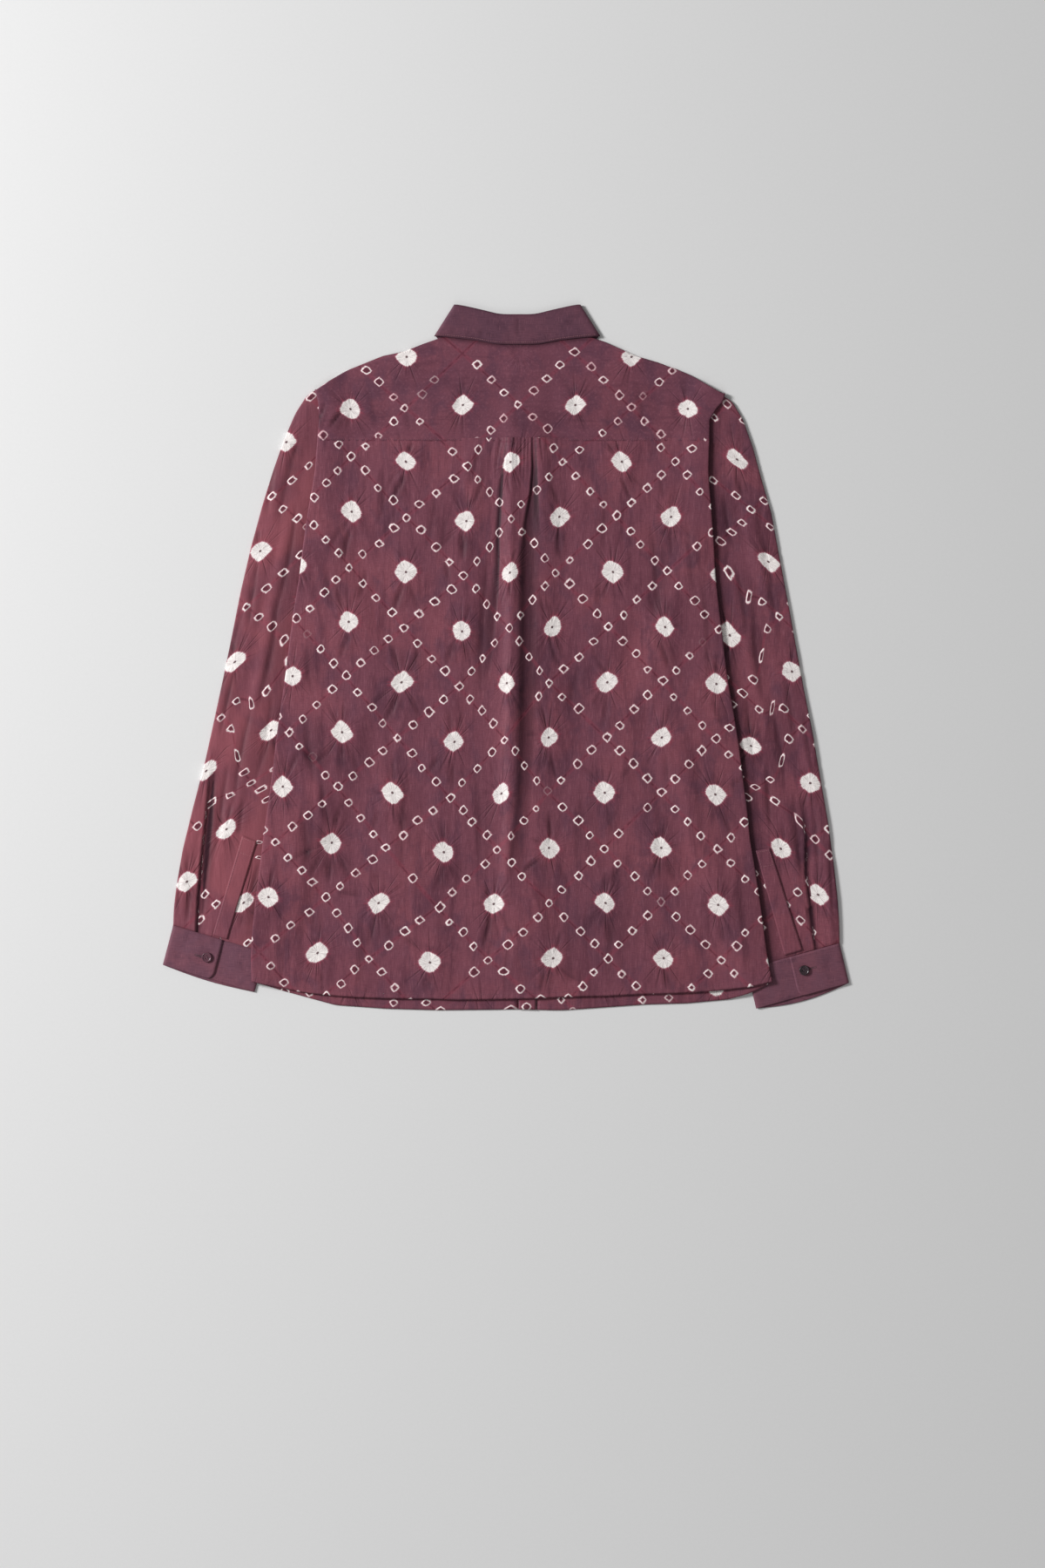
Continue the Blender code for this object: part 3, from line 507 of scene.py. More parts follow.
# Broad soft rises: the roll of cloth between the pleats, and beside them.
ROLLS = crease_rows(
    (6, 200, -2, -300, 15, -1.8, -3), (52, 220, 60, -200, 18, -0.8, 2),
    (-36, 200, -60, -120, 16, -0.7, 2),
)
BACK_CREASES = crease_rows(
    (-115, 210, -130, 178, 3.5, 1.0, 1), (-129, 165, -143, 133, 4, 0.5),
    (-177, 150, -185, 107, 4, 1.0, 2), (-185, 155, -203, 123, 4, 0.5),
    (-51, 145, -50, 110, 4.5, 1.2, -1), (-41, 169, -24, 209, 3.5, 0.9, 1),
    (-58, 147, -76, 123, 4, 0.5), (-117, 85, -129, 51, 4.5, 1.1, 1), (-111, 83, -99, 55, 4, 0.5),
    (-181, 28, -191, -2, 4, 0.8, -1), (-183, 52, -197, 87, 3, 0.6),
    (-121, -20, -130, 17, 4, 1.0, -1), (-113, -20, -99, 13, 4, 0.9, 2),
    (-123, -42, -139, -75, 4, 1.1), (-111, -42, -97, -67, 3.5, 0.7),
    (-132, -35, -157, -61, 4, 0.6, 1), (-66, 87, -68, 113, 3.5, 0.8), (-60, 18, -69, -11, 4, 0.6),
    (-48, 17, -40, -10, 4, 0.5), (-20, 115, -29, -45, 8, 0.9, 3), (-74, 121, -69, 165, 5, 0.5),
    (-160, 100, -171, 65, 5, 0.7, -2), (-205, 105, -197, 55, 6, 0.6, 2),
    (-113, 233, -107, 248, 3, 0.8), (-141, 215, -145, 155, 6, 0.5, -2),
    (-25, 248, -41, 195, 6, 0.6, 2), (-81, 195, -95, 115, 7, 0.5, -3),
    (-229, 15, -221, -45, 7, 0.6, 2), (132, 207, 145, 178, 2.4, 1.0), (125, 233, 118, 247, 3, 0.8),
    (60, 143, 63, 110, 4, 0.7, 1), (60, 175, 52, 199, 4, 0.5), (138, 213, 160, 192, 3.5, 0.5),
    (108, 87, 106, 60, 4, 0.6), (176, 19, 188, -15, 3.6, 1.0, -1), (169, 47, 164, 79, 4, 0.8, 1),
    (183, 45, 191, 67, 4, 0.5), (51, 17, 64, -13, 4, 0.7, 1), (47, 43, 40, 69, 4, 0.6),
    (165, 155, 171, 35, 9, 0.8, -4), (111, -17, 99, 13, 4, 0.5), (116, -42, 110, -83, 4, 0.7, -1),
    (241, -48, 248, -83, 4, 0.7), (234, -21, 230, 11, 4, 0.5), (86, -7, 73, -69, 7, 0.7, 3),
    (188, 149, 191, 115, 4, 0.5), (181, 180, 177, 210, 4, 0.5), (209, 155, 219, 65, 7, 0.6, 3),
    (119, 195, 113, 115, 8, 0.5, 3), (224, 95, 231, -5, 6, 0.6, -3),
    (-189, -100, -190, -137, 3.5, 0.8), (-196, -98, -227, -127, 4, 0.7, -2),
    (-180, -100, -168, -131, 4, 0.6), (-237, -101, -221, -122, 3, 0.9),
    (-210, -143, -201, -195, 4.5, 1.1, 3), (-197, -193, -183, -160, 3.5, 0.6),
    (-202, -226, -203, -259, 4.5, 1.1), (-211, -225, -224, -252, 4, 0.8, 1),
    (-192, -224, -178, -257, 4, 0.7), (-217, -217, -249, -237, 4, 0.8, 2),
    (-250, -133, -235, -103, 4, 0.8), (-263, -133, -269, -105, 4, 0.5),
    (-131, -140, -129, -113, 3, 0.6), (-126, -171, -118, -199, 4, 0.6),
    (-144, -173, -157, -207, 4, 0.6), (-62, -113, -62, -151, 4, 0.8, -1),
    (-73, -111, -92, -137, 4, 0.8, 1), (-62, -81, -67, -57, 4, 0.5), (-73, -237, -81, -269, 4, 0.7),
    (-66, -235, -50, -259, 4, 0.6), (-73, -209, -76, -183, 4, 0.5),
    (-148, -293, -157, -331, 4, 0.8, 1), (-140, -293, -129, -327, 4, 0.6),
    (-147, -264, -150, -241, 4, 0.5), (-163, -275, -193, -269, 4, 0.6),
    (-217, -319, -222, -291, 3.5, 0.6), (-214, -353, -208, -387, 4, 0.6),
    (-88, -363, -90, -387, 4, 0.6), (-95, -337, -117, -321, 4, 0.6),
    (-16, -293, -27, -333, 4.5, 0.8, -1), (-6, -291, 11, -327, 4, 0.6),
    (-229, -65, -219, -145, 10, 0.9, 3), (-235, -175, -229, -249, 9, 0.8, -3),
    (-111, -125, -119, -255, 9, 0.6, 4), (-36, -125, -33, -255, 9, 0.6, -4),
    (-161, -305, -167, -391, 9, 0.5, 3), (9, -195, 5, -255, 6, 0.6), (5, -325, -1, -391, 7, 0.5, 2),
    (51, -109, 59, -142, 4, 0.7), (41, -109, 38, -137, 4, 0.5), (42, -229, 19, -247, 3, 1.1, 1),
    (53, -205, 49, -177, 4, 0.6), (60, -235, 75, -277, 4, 0.6, -2),
    (119, -169, 123, -207, 4, 0.7, 1), (109, -145, 89, -125, 4, 0.5),
    (130, -142, 150, -119, 4, 0.5), (182, -108, 185, -147, 4, 0.7), (183, -79, 190, -49, 4, 0.6),
    (184, -232, 196, -259, 4, 0.7), (174, -230, 164, -257, 4, 0.5),
    (114, -293, 121, -333, 4, 0.7, -1), (118, -262, 132, -237, 3.5, 0.9),
    (105, -291, 91, -317, 4, 0.5), (181, -357, 190, -383, 4, 0.6), (173, -353, 161, -379, 4, 0.4),
    (45, -357, 40, -385, 4, 0.7), (57, -351, 87, -373, 4, 0.6, 2), (243, -297, 251, -331, 4, 0.6),
    (247, -171, 261, -207, 4, 0.7, 1), (255, -150, 277, -133, 4, 0.6),
    (131, -245, 119, -383, 9, 0.6, 4), (167, -125, 177, -255, 9, 0.5, -4),
    (89, -145, 83, -255, 9, 0.5, 3), (69, -285, 71, -385, 8, 0.5, -3),
    (219, -95, 231, -245, 10, 0.5, 4), (267, -225, 281, -365, 9, 0.6, 3),
)
YOKE_CREASES = crease_rows(
    (-185, 284, -203, 262, 3.5, 1.5, 1), (-207, 292, -224, 256, 3.0, 1.4, -1),
    (-40, 330, -62, 258, 7, 0.5, 3), (60, 330, 92, 256, 8, 0.5, -3),
    (-115, 300, -110, 256, 5, 0.5, 1), (150, 318, 160, 256, 6, 0.5, -1),
    (190, 300, 205, 258, 5, 0.5, 2), (-160, 315, -150, 262, 5, 0.4, -2),
    (10, 322, 14, 256, 6, 0.4, 1), (120, 290, 118, 256, 4, 0.4, 1),
)

LOOSE = 0.9  # how far the back lies above its solid, so that its creases clear the fronts
CLEAR = 0.4
UNDER_BACK = ("front_left", "front_right", "placket_front", "button_band")


def seam_puckers(x, y, seam_y, pitch, depth, reach):
    """Small ripples that a row of stitches draws into the cloth beside it."""
    wave = np.sin(x * 2 * math.pi / pitch + 2.3 * np.sin(x * 0.11) + 1.3 * np.sin(x * 0.043))
    return depth * wave * bell(y - seam_y, reach)


def turned_hem(away, width, rise):
    """A hem's doubled cloth: a low step, with a groove where it is stitched."""
    return rise * soft((width + 0.8 - away) / 1.6) - 0.7 * rise * bell(away - width + 0.9, 0.9)


HEM_TURN = ((0.25, 0.3), (0.2, 0.75), (0.9, 1.0), (6.0, 1.05))  # inward and down, at the hem


def make_back(finish):
    solid = Solid("back")
    hem = solid.edge(1, 0, -290, 304, 90)
    left, right = solid.span(0, 200.0)
    width = right - left
    columns = (places((left, -20, 2.1), (-20, 56, 1.15), (56, right, 2.1)) - left) / width
    deep = YOKE_SEAM - HEM_END
    rows = places((0, 24, 1.3), (24, deep, 2.15)) / deep
    x, y = panel(solid, columns, rows, (YOKE_SEAM, HEM_END), even(YOKE_SEAM), hem, FOLD)
    z = laid_height(solid, x, y, 5.0, 14) + LOOSE
    centres = tied_places(body_chart(x, y), x, y)
    folds, dark = pleated(PLEATS, x, y)
    creases, lines = pressed(BACK_CREASES, x, y)
    gathers, gather_lines = pressed(GATHERS, x, y)
    knots, knot_lines = pressed(knot_creases(centres, 3, 34, 0.9), x, y)
    rolls, _ = pressed(ROLLS, x, y)
    beneath = [np.nan_to_num(Solid(name).drop(x, y), nan=1.0) for name in UNDER_BACK]
    beneath = np.max(beneath, axis=0)
    z = z + folds + rolls + 1.7 * creases + 0.9 * gathers + 1.2 * knots
    z = np.maximum(z, smoothed(beneath + CLEAR, 1))
    # Painted shade: darker cloth in the creases, the gathers and the knots' creases, and beside the
    # pleats' edges.
    painted_shade = clip(dark + 0.9 * lines + 0.45 * gather_lines + 0.5 * knot_lines)
    away = y - hem(x)
    z += turned_hem(away, 6.0, 0.35) + seam_puckers(x, away, 3, 9, 0.18, 5)
    z += seam_puckers(x, y, YOKE_SEAM - 2, 7, 0.12, 4)
    lead = [(4.0, 0.95), (0.6, 0.9), (-0.6, 0.5)]
    x = np.vstack([x[:1]] * 3 + [x[1:]] + [x[-1:]] * 4)
    turned = [y[-1:] + inward for inward, _ in HEM_TURN]
    y = np.vstack([np.full_like(y[:1], YOKE_SEAM + up) for up, _ in lead] + [y[1:]] + turned)
    turned = [z[-1:] - down for _, down in HEM_TURN]
    z = np.vstack([z[:1] - down for _, down in lead] + [z[1:]] + turned)
    painted_shade = np.vstack([painted_shade[:1]] * 2 + [painted_shade] + [painted_shade[-1:]] * 4)
    x, y, z, painted_shade = folded_sides(x, y, z, UNDERLAP, [painted_shade])
    sheet = Sheet("back_panel", x, y, z, body_chart(x, y), finish, None, 1, painted_shade)
    ride(sheet.piece, "printed_silk", "back")
    return sheet, hem


def make_yoke(finish):
    solid = Solid("yoke")
    top = solid.edge(1, 1, -224, 254, 90)
    columns = np.linspace(0, 1, 176)
    rows = np.linspace(0, 1, 48)
    ends = (SHOULDER["left"] - 1, YOKE_SEAM + SEAM)
    seam = even(YOKE_SEAM + SEAM)
    x, y = panel(solid, columns, rows, ends, lambda at: top(at) - FOLD, seam, FOLD)
    z = laid_height(solid, x, y, 4.0, 3)
    centres = tied_places(yoke_chart(x, y), x, y)
    centres = [place for place in centres if abs(place[0] - YOKE_MIDDLE) > 20]  # none is tied there
    knots = knot_creases(centres, 5, 20, 0.5)
    creases, lines = pressed(YOKE_CREASES, x, y)
    knot_lift, knot_lines = pressed(knots, x, y)
    z += 1.4 * creases + 1.2 * knot_lift
    # Painted shadow of the collar, on the yoke just below the collar's lower edge.
    collar_edge = np.array([(row.x_bottom, row.y_bottom) for row in FALL[:6]]).T
    below_collar = np.interp(abs(x - COLLAR_MIDDLE), *collar_edge) - y
    collar_shadow = 0.75 * bell(np.maximum(below_collar, 0), 3.5)
    painted_shade = clip(0.8 * lines + 0.5 * knot_lines + collar_shadow)
    z += seam_puckers(x, y, YOKE_SEAM, 11, 0.16, 6)
    turns = np.radians([150, 120, 90, 60, 30])
    x = np.vstack([x[:1]] * len(turns) + [x])
    y = np.vstack([y[:1] + FOLD * math.sin(turn) for turn in turns] + [y])
    z = np.vstack([z[:1] - FOLD * (1 - math.cos(turn)) for turn in turns] + [z])
    painted_shade = np.vstack([painted_shade[:1]] * len(turns) + [painted_shade])
    x, y, z, painted_shade = folded_sides(x, y, z, UNDERLAP, [painted_shade])
    sheet = Sheet("yoke_panel", x, y, z, yoke_chart(x, y), finish, CLOTH, -1, painted_shade)
    ride(sheet.piece, "printed_silk", "yoke")
    return sheet


# The fronts, which the shirt lies on, and their bands.


def make_front(side, finish):
    name = f"front_{side}"
    solid = Solid(name)
    low, high = solid.span(0, 0.0)
    top_ends, hem_ends = (-218, high), (-287, high)
    if side == "right":
        top_ends, hem_ends = (low, 248), (low, 301)
    top = solid.edge(1, 1, *top_ends, 80)
    hem = solid.edge(1, 0, *hem_ends, 80)
    columns = np.linspace(0, 1, 48)
    seam = even(YOKE_SEAM)
    upper = np.linspace(0, 1, 16)[:-1]
    lower = places((0, 560, 7.5), (560, 632, 2.4)) / 632
    x0, y0 = panel(solid, columns, upper, (SHOULDER[side] - 2, YOKE_SEAM), top, seam, 0)
    x1, y1 = panel(solid, columns, lower, (YOKE_SEAM, HEM_END), seam, hem, 0)
    x, y = np.vstack([x0, x1]), np.vstack([y0, y1])
    z = laid_height(solid, x, y, 1.5, 1)
    away = y - hem(x)
    z += turned_hem(away, 6.0, 0.3)
    sheet = Sheet(f"{name}_panel", x, y, z, body_chart(x + 11, y - 34), finish)
    ride(sheet.piece, "printed_silk", name)
    return sheet, hem


def make_band(node, piece_name, finish):
    solid = Solid(node)
    low, high = solid.span(0, 0.0)
    top = solid.edge(1, 1, low + 0.3, high - 0.3, 8)
    hem = solid.edge(1, 0, low + 0.3, high - 0.3, 8)
    columns = np.linspace(low + 0.1, high - 0.1, 9)
    rows = np.append(np.linspace(0, 0.9, 110, endpoint=False), np.linspace(0.9, 1, 34))
    x = np.tile(columns, (len(rows), 1))
    y = mix(top(x), hem(x), rows[:, None])
    z = laid_height(solid, x, y, 0.8, 1)
    z += turned_hem(y - hem(x), 6.0, 0.2)
    sheet = Sheet(piece_name, x, y, z, body_chart(x - 7, y + 21), finish, BAND)
    ride(sheet.piece, "printed_silk", node)
    return sheet


# The sleeves, each a flattened tube from the armhole to the cuff.

Sleeve = namedtuple("Sleeve", "sign head armpit cuff_outer cuff_inner")
SLEEVES = {
    "left": Sleeve(-1, 310.2, 44.4, -306.0, -337.4),
    "right": Sleeve(1, 304.2, 44.4, -326.6, -356.0),
}
SLEEVE_CREASES = {
    "left": crease_rows(
        (-232, 270, -262, 150, 6, 0.9, 3), (-262, 235, -276, 160, 3.5, 0.9, 1),
        (-240, 180, -268, 40, 6, 0.9, -4), (-285, 110, -296, 30, 4, 1.0, 1),
        (-300, 60, -330, -60, 6, 0.8, 3), (-262, 70, -286, -60, 7, 1.0, -4),
        (-312, -16, -328, -90, 4, 1.0, 1), (-290, -50, -312, -170, 6, 1.0, 3),
        (-268, -40, -290, -150, 6, 0.8, -3), (-334, -125, -350, -312, 3.5, 1.9, 1),
        (-356, -90, -366, -190, 5, 0.8, -2), (-318, -120, -330, -215, 5, 0.9, 2),
        (-372, -200, -376, -300, 4, 0.7, 1), (-300, -160, -306, -205, 4, 0.8, 1),
        (-284, -235, -296, -310, 4, 0.9, 2), (-362, -262, -366, -306, 3, 0.8),
    ),
    "right": crease_rows(
        (265, 214, 271, 178, 2.6, 1.0), (256, 280, 262, 236, 3.5, 0.6, 1),
        (250, 190, 262, 120, 5, 0.8, 2), (290, 180, 306, 80, 6, 0.7, 3),
        (262, 110, 276, 20, 6, 0.9, -3), (302, 98, 310, 40, 4, 0.9, 1),
        (284, 60, 296, -50, 6, 0.9, 3), (322, -20, 332, -90, 4, 0.9, 1),
        (300, -40, 320, -150, 6, 0.9, -3), (276, -40, 288, -130, 5, 0.8, 2),
        (342, -60, 352, -130, 4, 0.8, 2), (330, -150, 340, -250, 5, 0.9, 2),
        (300, -120, 304, -200, 4, 1.0, 1), (352, -160, 358, -250, 4, 0.9, -1),
        (372, -200, 376, -300, 4, 0.8, 1), (316, -290, 324, -335, 2.2, 1.2, 0, True),
        (346, -286, 354, -330, 2.2, 1.0, 0, True),
    ),
}

SLEEVE_PLEATS = {
    "left": [edge_rows(
        (-100, -336, 0, 12, 0, 6), (-150, -342, -1.4, 12, 0.5, 8), (-190, -345.5, -2.0, 14, 0.7, 8),
        (-237, -351, -2.2, 14, 0.8, 7), (-275, -354, -2.2, 14, 0.85, 5),
        (-320, -356, -2.0, 12, 0.85, 4),
    )],
    "right": [edge_rows(
        (-150, 336, 0, 10, 0, 6), (-205, 343.5, -1.6, 10, 0.8, 6), (-245, 343, -1.8, 10, 0.9, 5),
        (-285, 348, -1.8, 9, 0.8, 5), (-335, 354.5, -1.5, 8, 0.7, 4),
    )],
}
TUCK_IN = ((0.8, 0.3), (1.0, 0.6), (1.2, 1.0))  # steps into the cuff, and how far each sinks
BODY_SHADE = {"left": 0.25, "right": 0.7}  # painted shadow on a sleeve, close beside the edge of the body


def make_sleeve(side, finish):
    sleeve = SLEEVES[side]
    solid = Solid(f"sleeve_{side}")
    outer, inner = (0, 1) if side == "left" else (1, 0)
    outside = solid.edge(0, outer, sleeve.cuff_outer, sleeve.head, 110)
    inside = solid.edge(0, inner, sleeve.cuff_inner, sleeve.head, 110)
    along = np.unique(np.concatenate([places((0, 1, 0.0052)), [0.003, 0.008]]))[:, None]
    y_out = mix(sleeve.head, sleeve.cuff_outer, along)
    y_in = mix(sleeve.armpit, sleeve.cuff_inner, along)
    x_out = outside(y_out) - sleeve.sign * FOLD
    x_in = inside(y_in) + sleeve.sign * FOLD

    def place(t):
        y_arm = mix(sleeve.head, sleeve.armpit, t)
        chord = mix(inside(sleeve.head), inside(sleeve.armpit), t)
        x = mix(x_out, x_in, t) + (inside(y_arm) - chord) * (1 - along) ** 2
        return x, mix(y_out, y_in, t) + 0 * x

    across = places((0, 0.74, 0.0145), (0.74, 1, 0.052))[None, :]
    x, y = place(across)
    z = solid.top(np.clip(x, x.min(1, keepdims=True) + 2, x.max(1, keepdims=True) - 2), y)
    z = smoothed(z, 3)
    centres = tied_places(sleeve_chart(side, x, y), x, y)
    folds, dark = pleated(SLEEVE_PLEATS[side], x, y)
    creases, lines = pressed(SLEEVE_CREASES[side], x, y)
    knots, knot_lines = pressed(knot_creases(centres, 11 + outer, 30, 0.8), x, y)
    z = np.maximum(z + folds + 1.7 * creases + 1.2 * knots, 1.3)
    # Painted shade: the body's edge casts a painted shadow on the sleeve beside it, and the creases
    # and the pleat are darker.
    body_edge = Solid("back").edge(0, outer, HEM_END + 1, YOKE_SEAM - 1, 60)
    beside = np.maximum(sleeve.sign * (x - body_edge(y)), 0)
    dark = dark + BODY_SHADE[side] * bell(beside, 12)
    painted_shade = clip(dark + 0.9 * lines + 0.6 * knot_lines)
    painted_shade = np.pad(painted_shade, ((0, 0), (11, 6)), mode="edge")
    underside = 0.35
    turns = np.radians([30, 60, 90, 120, 150])

    def round_fold(column, outward, turns):
        edge_x, edge_z = x[:, column], z[:, column]
        xs = [edge_x + outward * FOLD * math.sin(turn) for turn in turns]
        zs = [edge_z - (edge_z - underside) / 2 * (1 - math.cos(turn)) for turn in turns]
        return xs, [y[:, column]] * len(turns), zs

    outer_fold = round_fold(slice(0, 1), sleeve.sign, turns[::-1])
    inner_fold = round_fold(slice(-1, None), -sleeve.sign, turns)
    under_x, under_y = place(np.array([1, 0.8, 0.6, 0.4, 0.2, 0.0])[None, :])
    under = (under_x, under_y, np.full(under_x.shape, underside))
    x, y, z = (
        np.hstack([below, *outer_side, above, *inner_side, below[:, :1]])
        for below, outer_side, above, inner_side in zip(under, outer_fold, (x, y, z), inner_fold)
    )
    _, _, fall, _ = cuff_frame(side)
    for reach, share in TUCK_IN:
        x = np.vstack([x, x[-1:] + fall[0] * reach])
        y = np.vstack([y, y[-1:] + fall[1] * reach])
        z = np.vstack([z, np.minimum(z[-1:], mix(z[-1:], 1.2, share))])
        painted_shade = np.vstack([painted_shade, painted_shade[-1:]])
    if side == "right":
        x, y, z, painted_shade = (grid[:, ::-1] for grid in (x, y, z, painted_shade))
    chart_steps = sleeve_chart(side, x, y)
    sheet = Sheet(f"sleeve_{side}_tube", x, y, z, chart_steps, finish, CLOTH * 0.8, -1, painted_shade)
    ride(sheet.piece, "printed_silk", f"sleeve_{side}")
    return sheet


# Cuffs and collar: lined bands, through the middle of their wall.

Cuff = namedtuple("Cuff", "outer inner down gape button_down")
CUFFS = {
    "left": Cuff((-381.87, -307.05), (-276.37, -338.35), (-12, -45.5), 3.0, 24.0),
    "right": Cuff((382.93, -327.55), (276.23, -357.05), (11, -46), 6.0, 19.1),
}
CUFF_HEIGHT = 47.0
CUFF_LAP = 60.0
CUFF_CORNER = 10.0
CUFF_BUTTON_ALONG = 46.9
# A wrapped cuff from its inner end round to the lapping end: place along it, height of the
# middle of its wall, and whether it is the lower layer. Places from the far edge are below 0.
CUFF_PATH = [
    (27, 1.8, 0),
    (64, 1.8, 0),
    (80, 2.3, 0),
    (-6, 2.3, 0),
    (-1.6, 2.1, 0),
    (-0.5, 1.4, 0),
    (-1.7, 0.6, 1),
    (84, 0.5, 1),
    (1.7, 0.6, 1),
    (0.5, 1.6, 0),
    (1.6, 2.5, 0),
    (6, 2.7, 0),
    (14, 2.9, 0),
    (24, 3.1, 0),
]


def cuff_frame(side):
    cuff = CUFFS[side]
    outer, inner, down = (np.array(v, float) for v in (cuff.outer, cuff.inner, cuff.down))
    length = float(np.linalg.norm(inner - outer))
    return outer, (inner - outer) / length, down / np.linalg.norm(down), length


def cuff_place(side, along, down):
    outer, run, fall, _ = cuff_frame(side)
    return outer + run * along + fall * down


def make_cuff(side, finish):
    outer, run, fall, length = cuff_frame(side)
    path = [(w if w >= 0 else length + w, z, low) for w, z, low in CUFF_PATH]
    counts = [max(round(abs(b[0] - a[0]) / 2.4), 1) for a, b in zip(path, path[1:])] + [15]
    rows = []
    for v in places((0, 36, 3.0), (36, CUFF_HEIGHT, 1.1)):
        corner = max(v - (CUFF_HEIGHT - CUFF_CORNER), 0)
        cut = CUFF_CORNER - math.sqrt(max(CUFF_CORNER**2 - corner**2, 0))
        knots = [np.array(knot, float) for knot in path + [(CUFF_LAP - 0.7 * cut, 3.1, 0)]]
        row = []
        for a, b, count in zip(knots, knots[1:], counts):
            row += [mix(a, b, k / count) for k in range(count)]
        row.append(knots[-1])
        points = []
        for w, z, low in row:
            gape = CUFFS[side].gape * low * math.sin(math.pi * w / length) * v / CUFF_HEIGHT
            x, y = outer + run * w + fall * (v + gape)
            dent = math.sin(w * 0.21 + v * 0.05) * (1 - low) * math.sin(math.pi * v / CUFF_HEIGHT)
            pucker = math.sin(w * 1.05 + 2 * math.sin(w * 0.3)) * math.exp(-((v - 5) / 4) ** 2)
            dent = 0.25 * dent + 0.16 * pucker
            points.append((x, y, z + dent * (z > 2.6)))
        rows.append(points)
    grid = np.array(rows)
    x, y, z = grid[..., 0], grid[..., 1], grid[..., 2]
    if side == "right":
        x, y, z = x[:, ::-1], y[:, ::-1], z[:, ::-1]
    sheet = Sheet(f"cuff_{side}_band", x, y, z, None, finish, BAND, 0)
    ride(sheet.piece, "plain_silk", f"cuff_{side}")
    return sheet


COLLAR_MIDDLE = 13.03
STITCH_INSET = 2.4
Collar = namedtuple("Collar", "x_top y_top x_bottom y_bottom z")
FALL = [
    Collar(0, 393.45, 0, 358.95, 4.7),
    Collar(20, 393.95, 24, 359.45, 4.7),
    Collar(40, 398.45, 48, 363.45, 4.7),
    Collar(60, 402.95, 72, 366.45, 4.7),
    Collar(68, 404.25, 88, 367.95, 4.7),
    Collar(71.2, 404.45, 93, 368.45, 4.0),
    Collar(72.2, 404.45, 95, 368.45, 2.6),
    Collar(71.2, 404.25, 93, 367.95, 1.2),
    Collar(68, 402.45, 88, 360.45, 0.5),
    Collar(54, 391.45, 74, 335.45, 0.5),
    Collar(34, 375.45, 54, 311.45, 0.5),
    Collar(18, 361.45, 43, 299.45, 0.5),
    Collar(4, 351.45, 32, 290.45, 0.5),
]
STAND = [
    Collar(0, 390.45, 0, 368.05, 3.4),
    Collar(30, 391.45, 32, 368.65, 3.4),
    Collar(56, 397.45, 60, 369.45, 3.4),
    Collar(64, 399.45, 72, 370.45, 3.4),
    Collar(66, 399.95, 76, 370.95, 2.6),
    Collar(64, 398.45, 73, 367.95, 1.8),
    Collar(52, 387.45, 57, 354.45, 1.8),
    Collar(32, 371.45, 33, 344.45, 1.8),
    Collar(3, 353.45, 3, 332.45, 1.8),
]
# Small puckers along the lower edge of the collar at the back, from the collar's middle.
COLLAR_PUCKERS = crease_rows(
    (-76, 369, -72, 382, 1.6, 0.3), (-61, 366, -60, 380, 1.5, 0.25),
    (-44, 363, -41, 379, 1.7, 0.35), (-29, 360, -29, 376, 1.6, 0.25), (-12, 359, -9, 374, 1.5, 0.3),
    (1, 394, 0, 366, 2.6, 0.6, 1), (19, 359, 20, 376, 1.5, 0.3), (36, 361, 34, 378, 1.6, 0.3),
    (52, 364, 53, 382, 1.6, 0.35), (69, 366, 66, 382, 1.5, 0.25),
)


def between(rows, count):
    """Rows of numbers with smooth steps added between them."""
    table = np.array(rows, float)
    padded = np.vstack([table[0], table, table[-1]])
    out = []
    for a, b, c, d in zip(padded, padded[1:], padded[2:], padded[3:]):
        for t in np.linspace(0, 1, count, endpoint=False):
            tangent_b, tangent_c = (c - a) / 2, (d - b) / 2
            t2, t3 = t * t, t * t * t
            out.append(
                (2 * t3 - 3 * t2 + 1) * b
                + (t3 - 2 * t2 + t) * tangent_b
                + (3 * t2 - 2 * t3) * c
                + (t3 - t2) * tangent_c
            )
    out.append(table[-1])
    return np.array(out)


def make_collar(node, piece_name, sections, finish, puckers):
    half = between(sections, 6)
    mirrored = half[:0:-1] * np.array([-1, 1, -1, 1, 1])
    ring = np.vstack([mirrored, half])
    t = np.linspace(0, 1, 16)[:, None]
    x = mix(ring[:, 0], ring[:, 2], t)
    y = mix(ring[:, 1], ring[:, 3], t)
    z = np.tile(ring[:, 4], (len(t), 1))
    at_back = z > 3.3
    lift, shade = pressed(puckers, x, y)
    seam = bell((1 - t) * (ring[:, 1] - ring[:, 3]) - STITCH_INSET, 0.9)
    z = z + at_back * (lift - 0.2 * seam)
    # Painted shade in the puckers and the stitched groove at the back, and along the collar's top
    # and bottom edges.
    ends = bell(t, 0.05) + bell(1 - t, 0.025)
    painted_shade = clip(at_back * (1.2 * shade + 0.35 * seam) + 0.5 * ends)
    sheet = Sheet(piece_name, x + COLLAR_MIDDLE, y, z, None, finish, BAND, 0, painted_shade)
    ride(sheet.piece, "plain_silk", node)
    return sheet


PLACKETS = {
    "left": [(-302.5, -204.0), (-286, -211.0), (-320, -323.0), (-336.5, -318.5)],
    "right": [(286.5, -221.5), (302.5, -218.5), (340, -335.5), (319.5, -341.7)],
}


def placket_place(side, across, down):
    """A place on a sleeve placket, from its box at the top to the cuff, 0 to 1 both ways."""
    top_a, top_b, foot_b, foot_a = (np.array(corner) for corner in PLACKETS[side])
    return mix(mix(top_a, foot_a, down), mix(top_b, foot_b, down), across)


def placket_grid(side, across, down):
    return np.moveaxis([[placket_place(side, a, d) for a in across] for d in down], -1, 0)


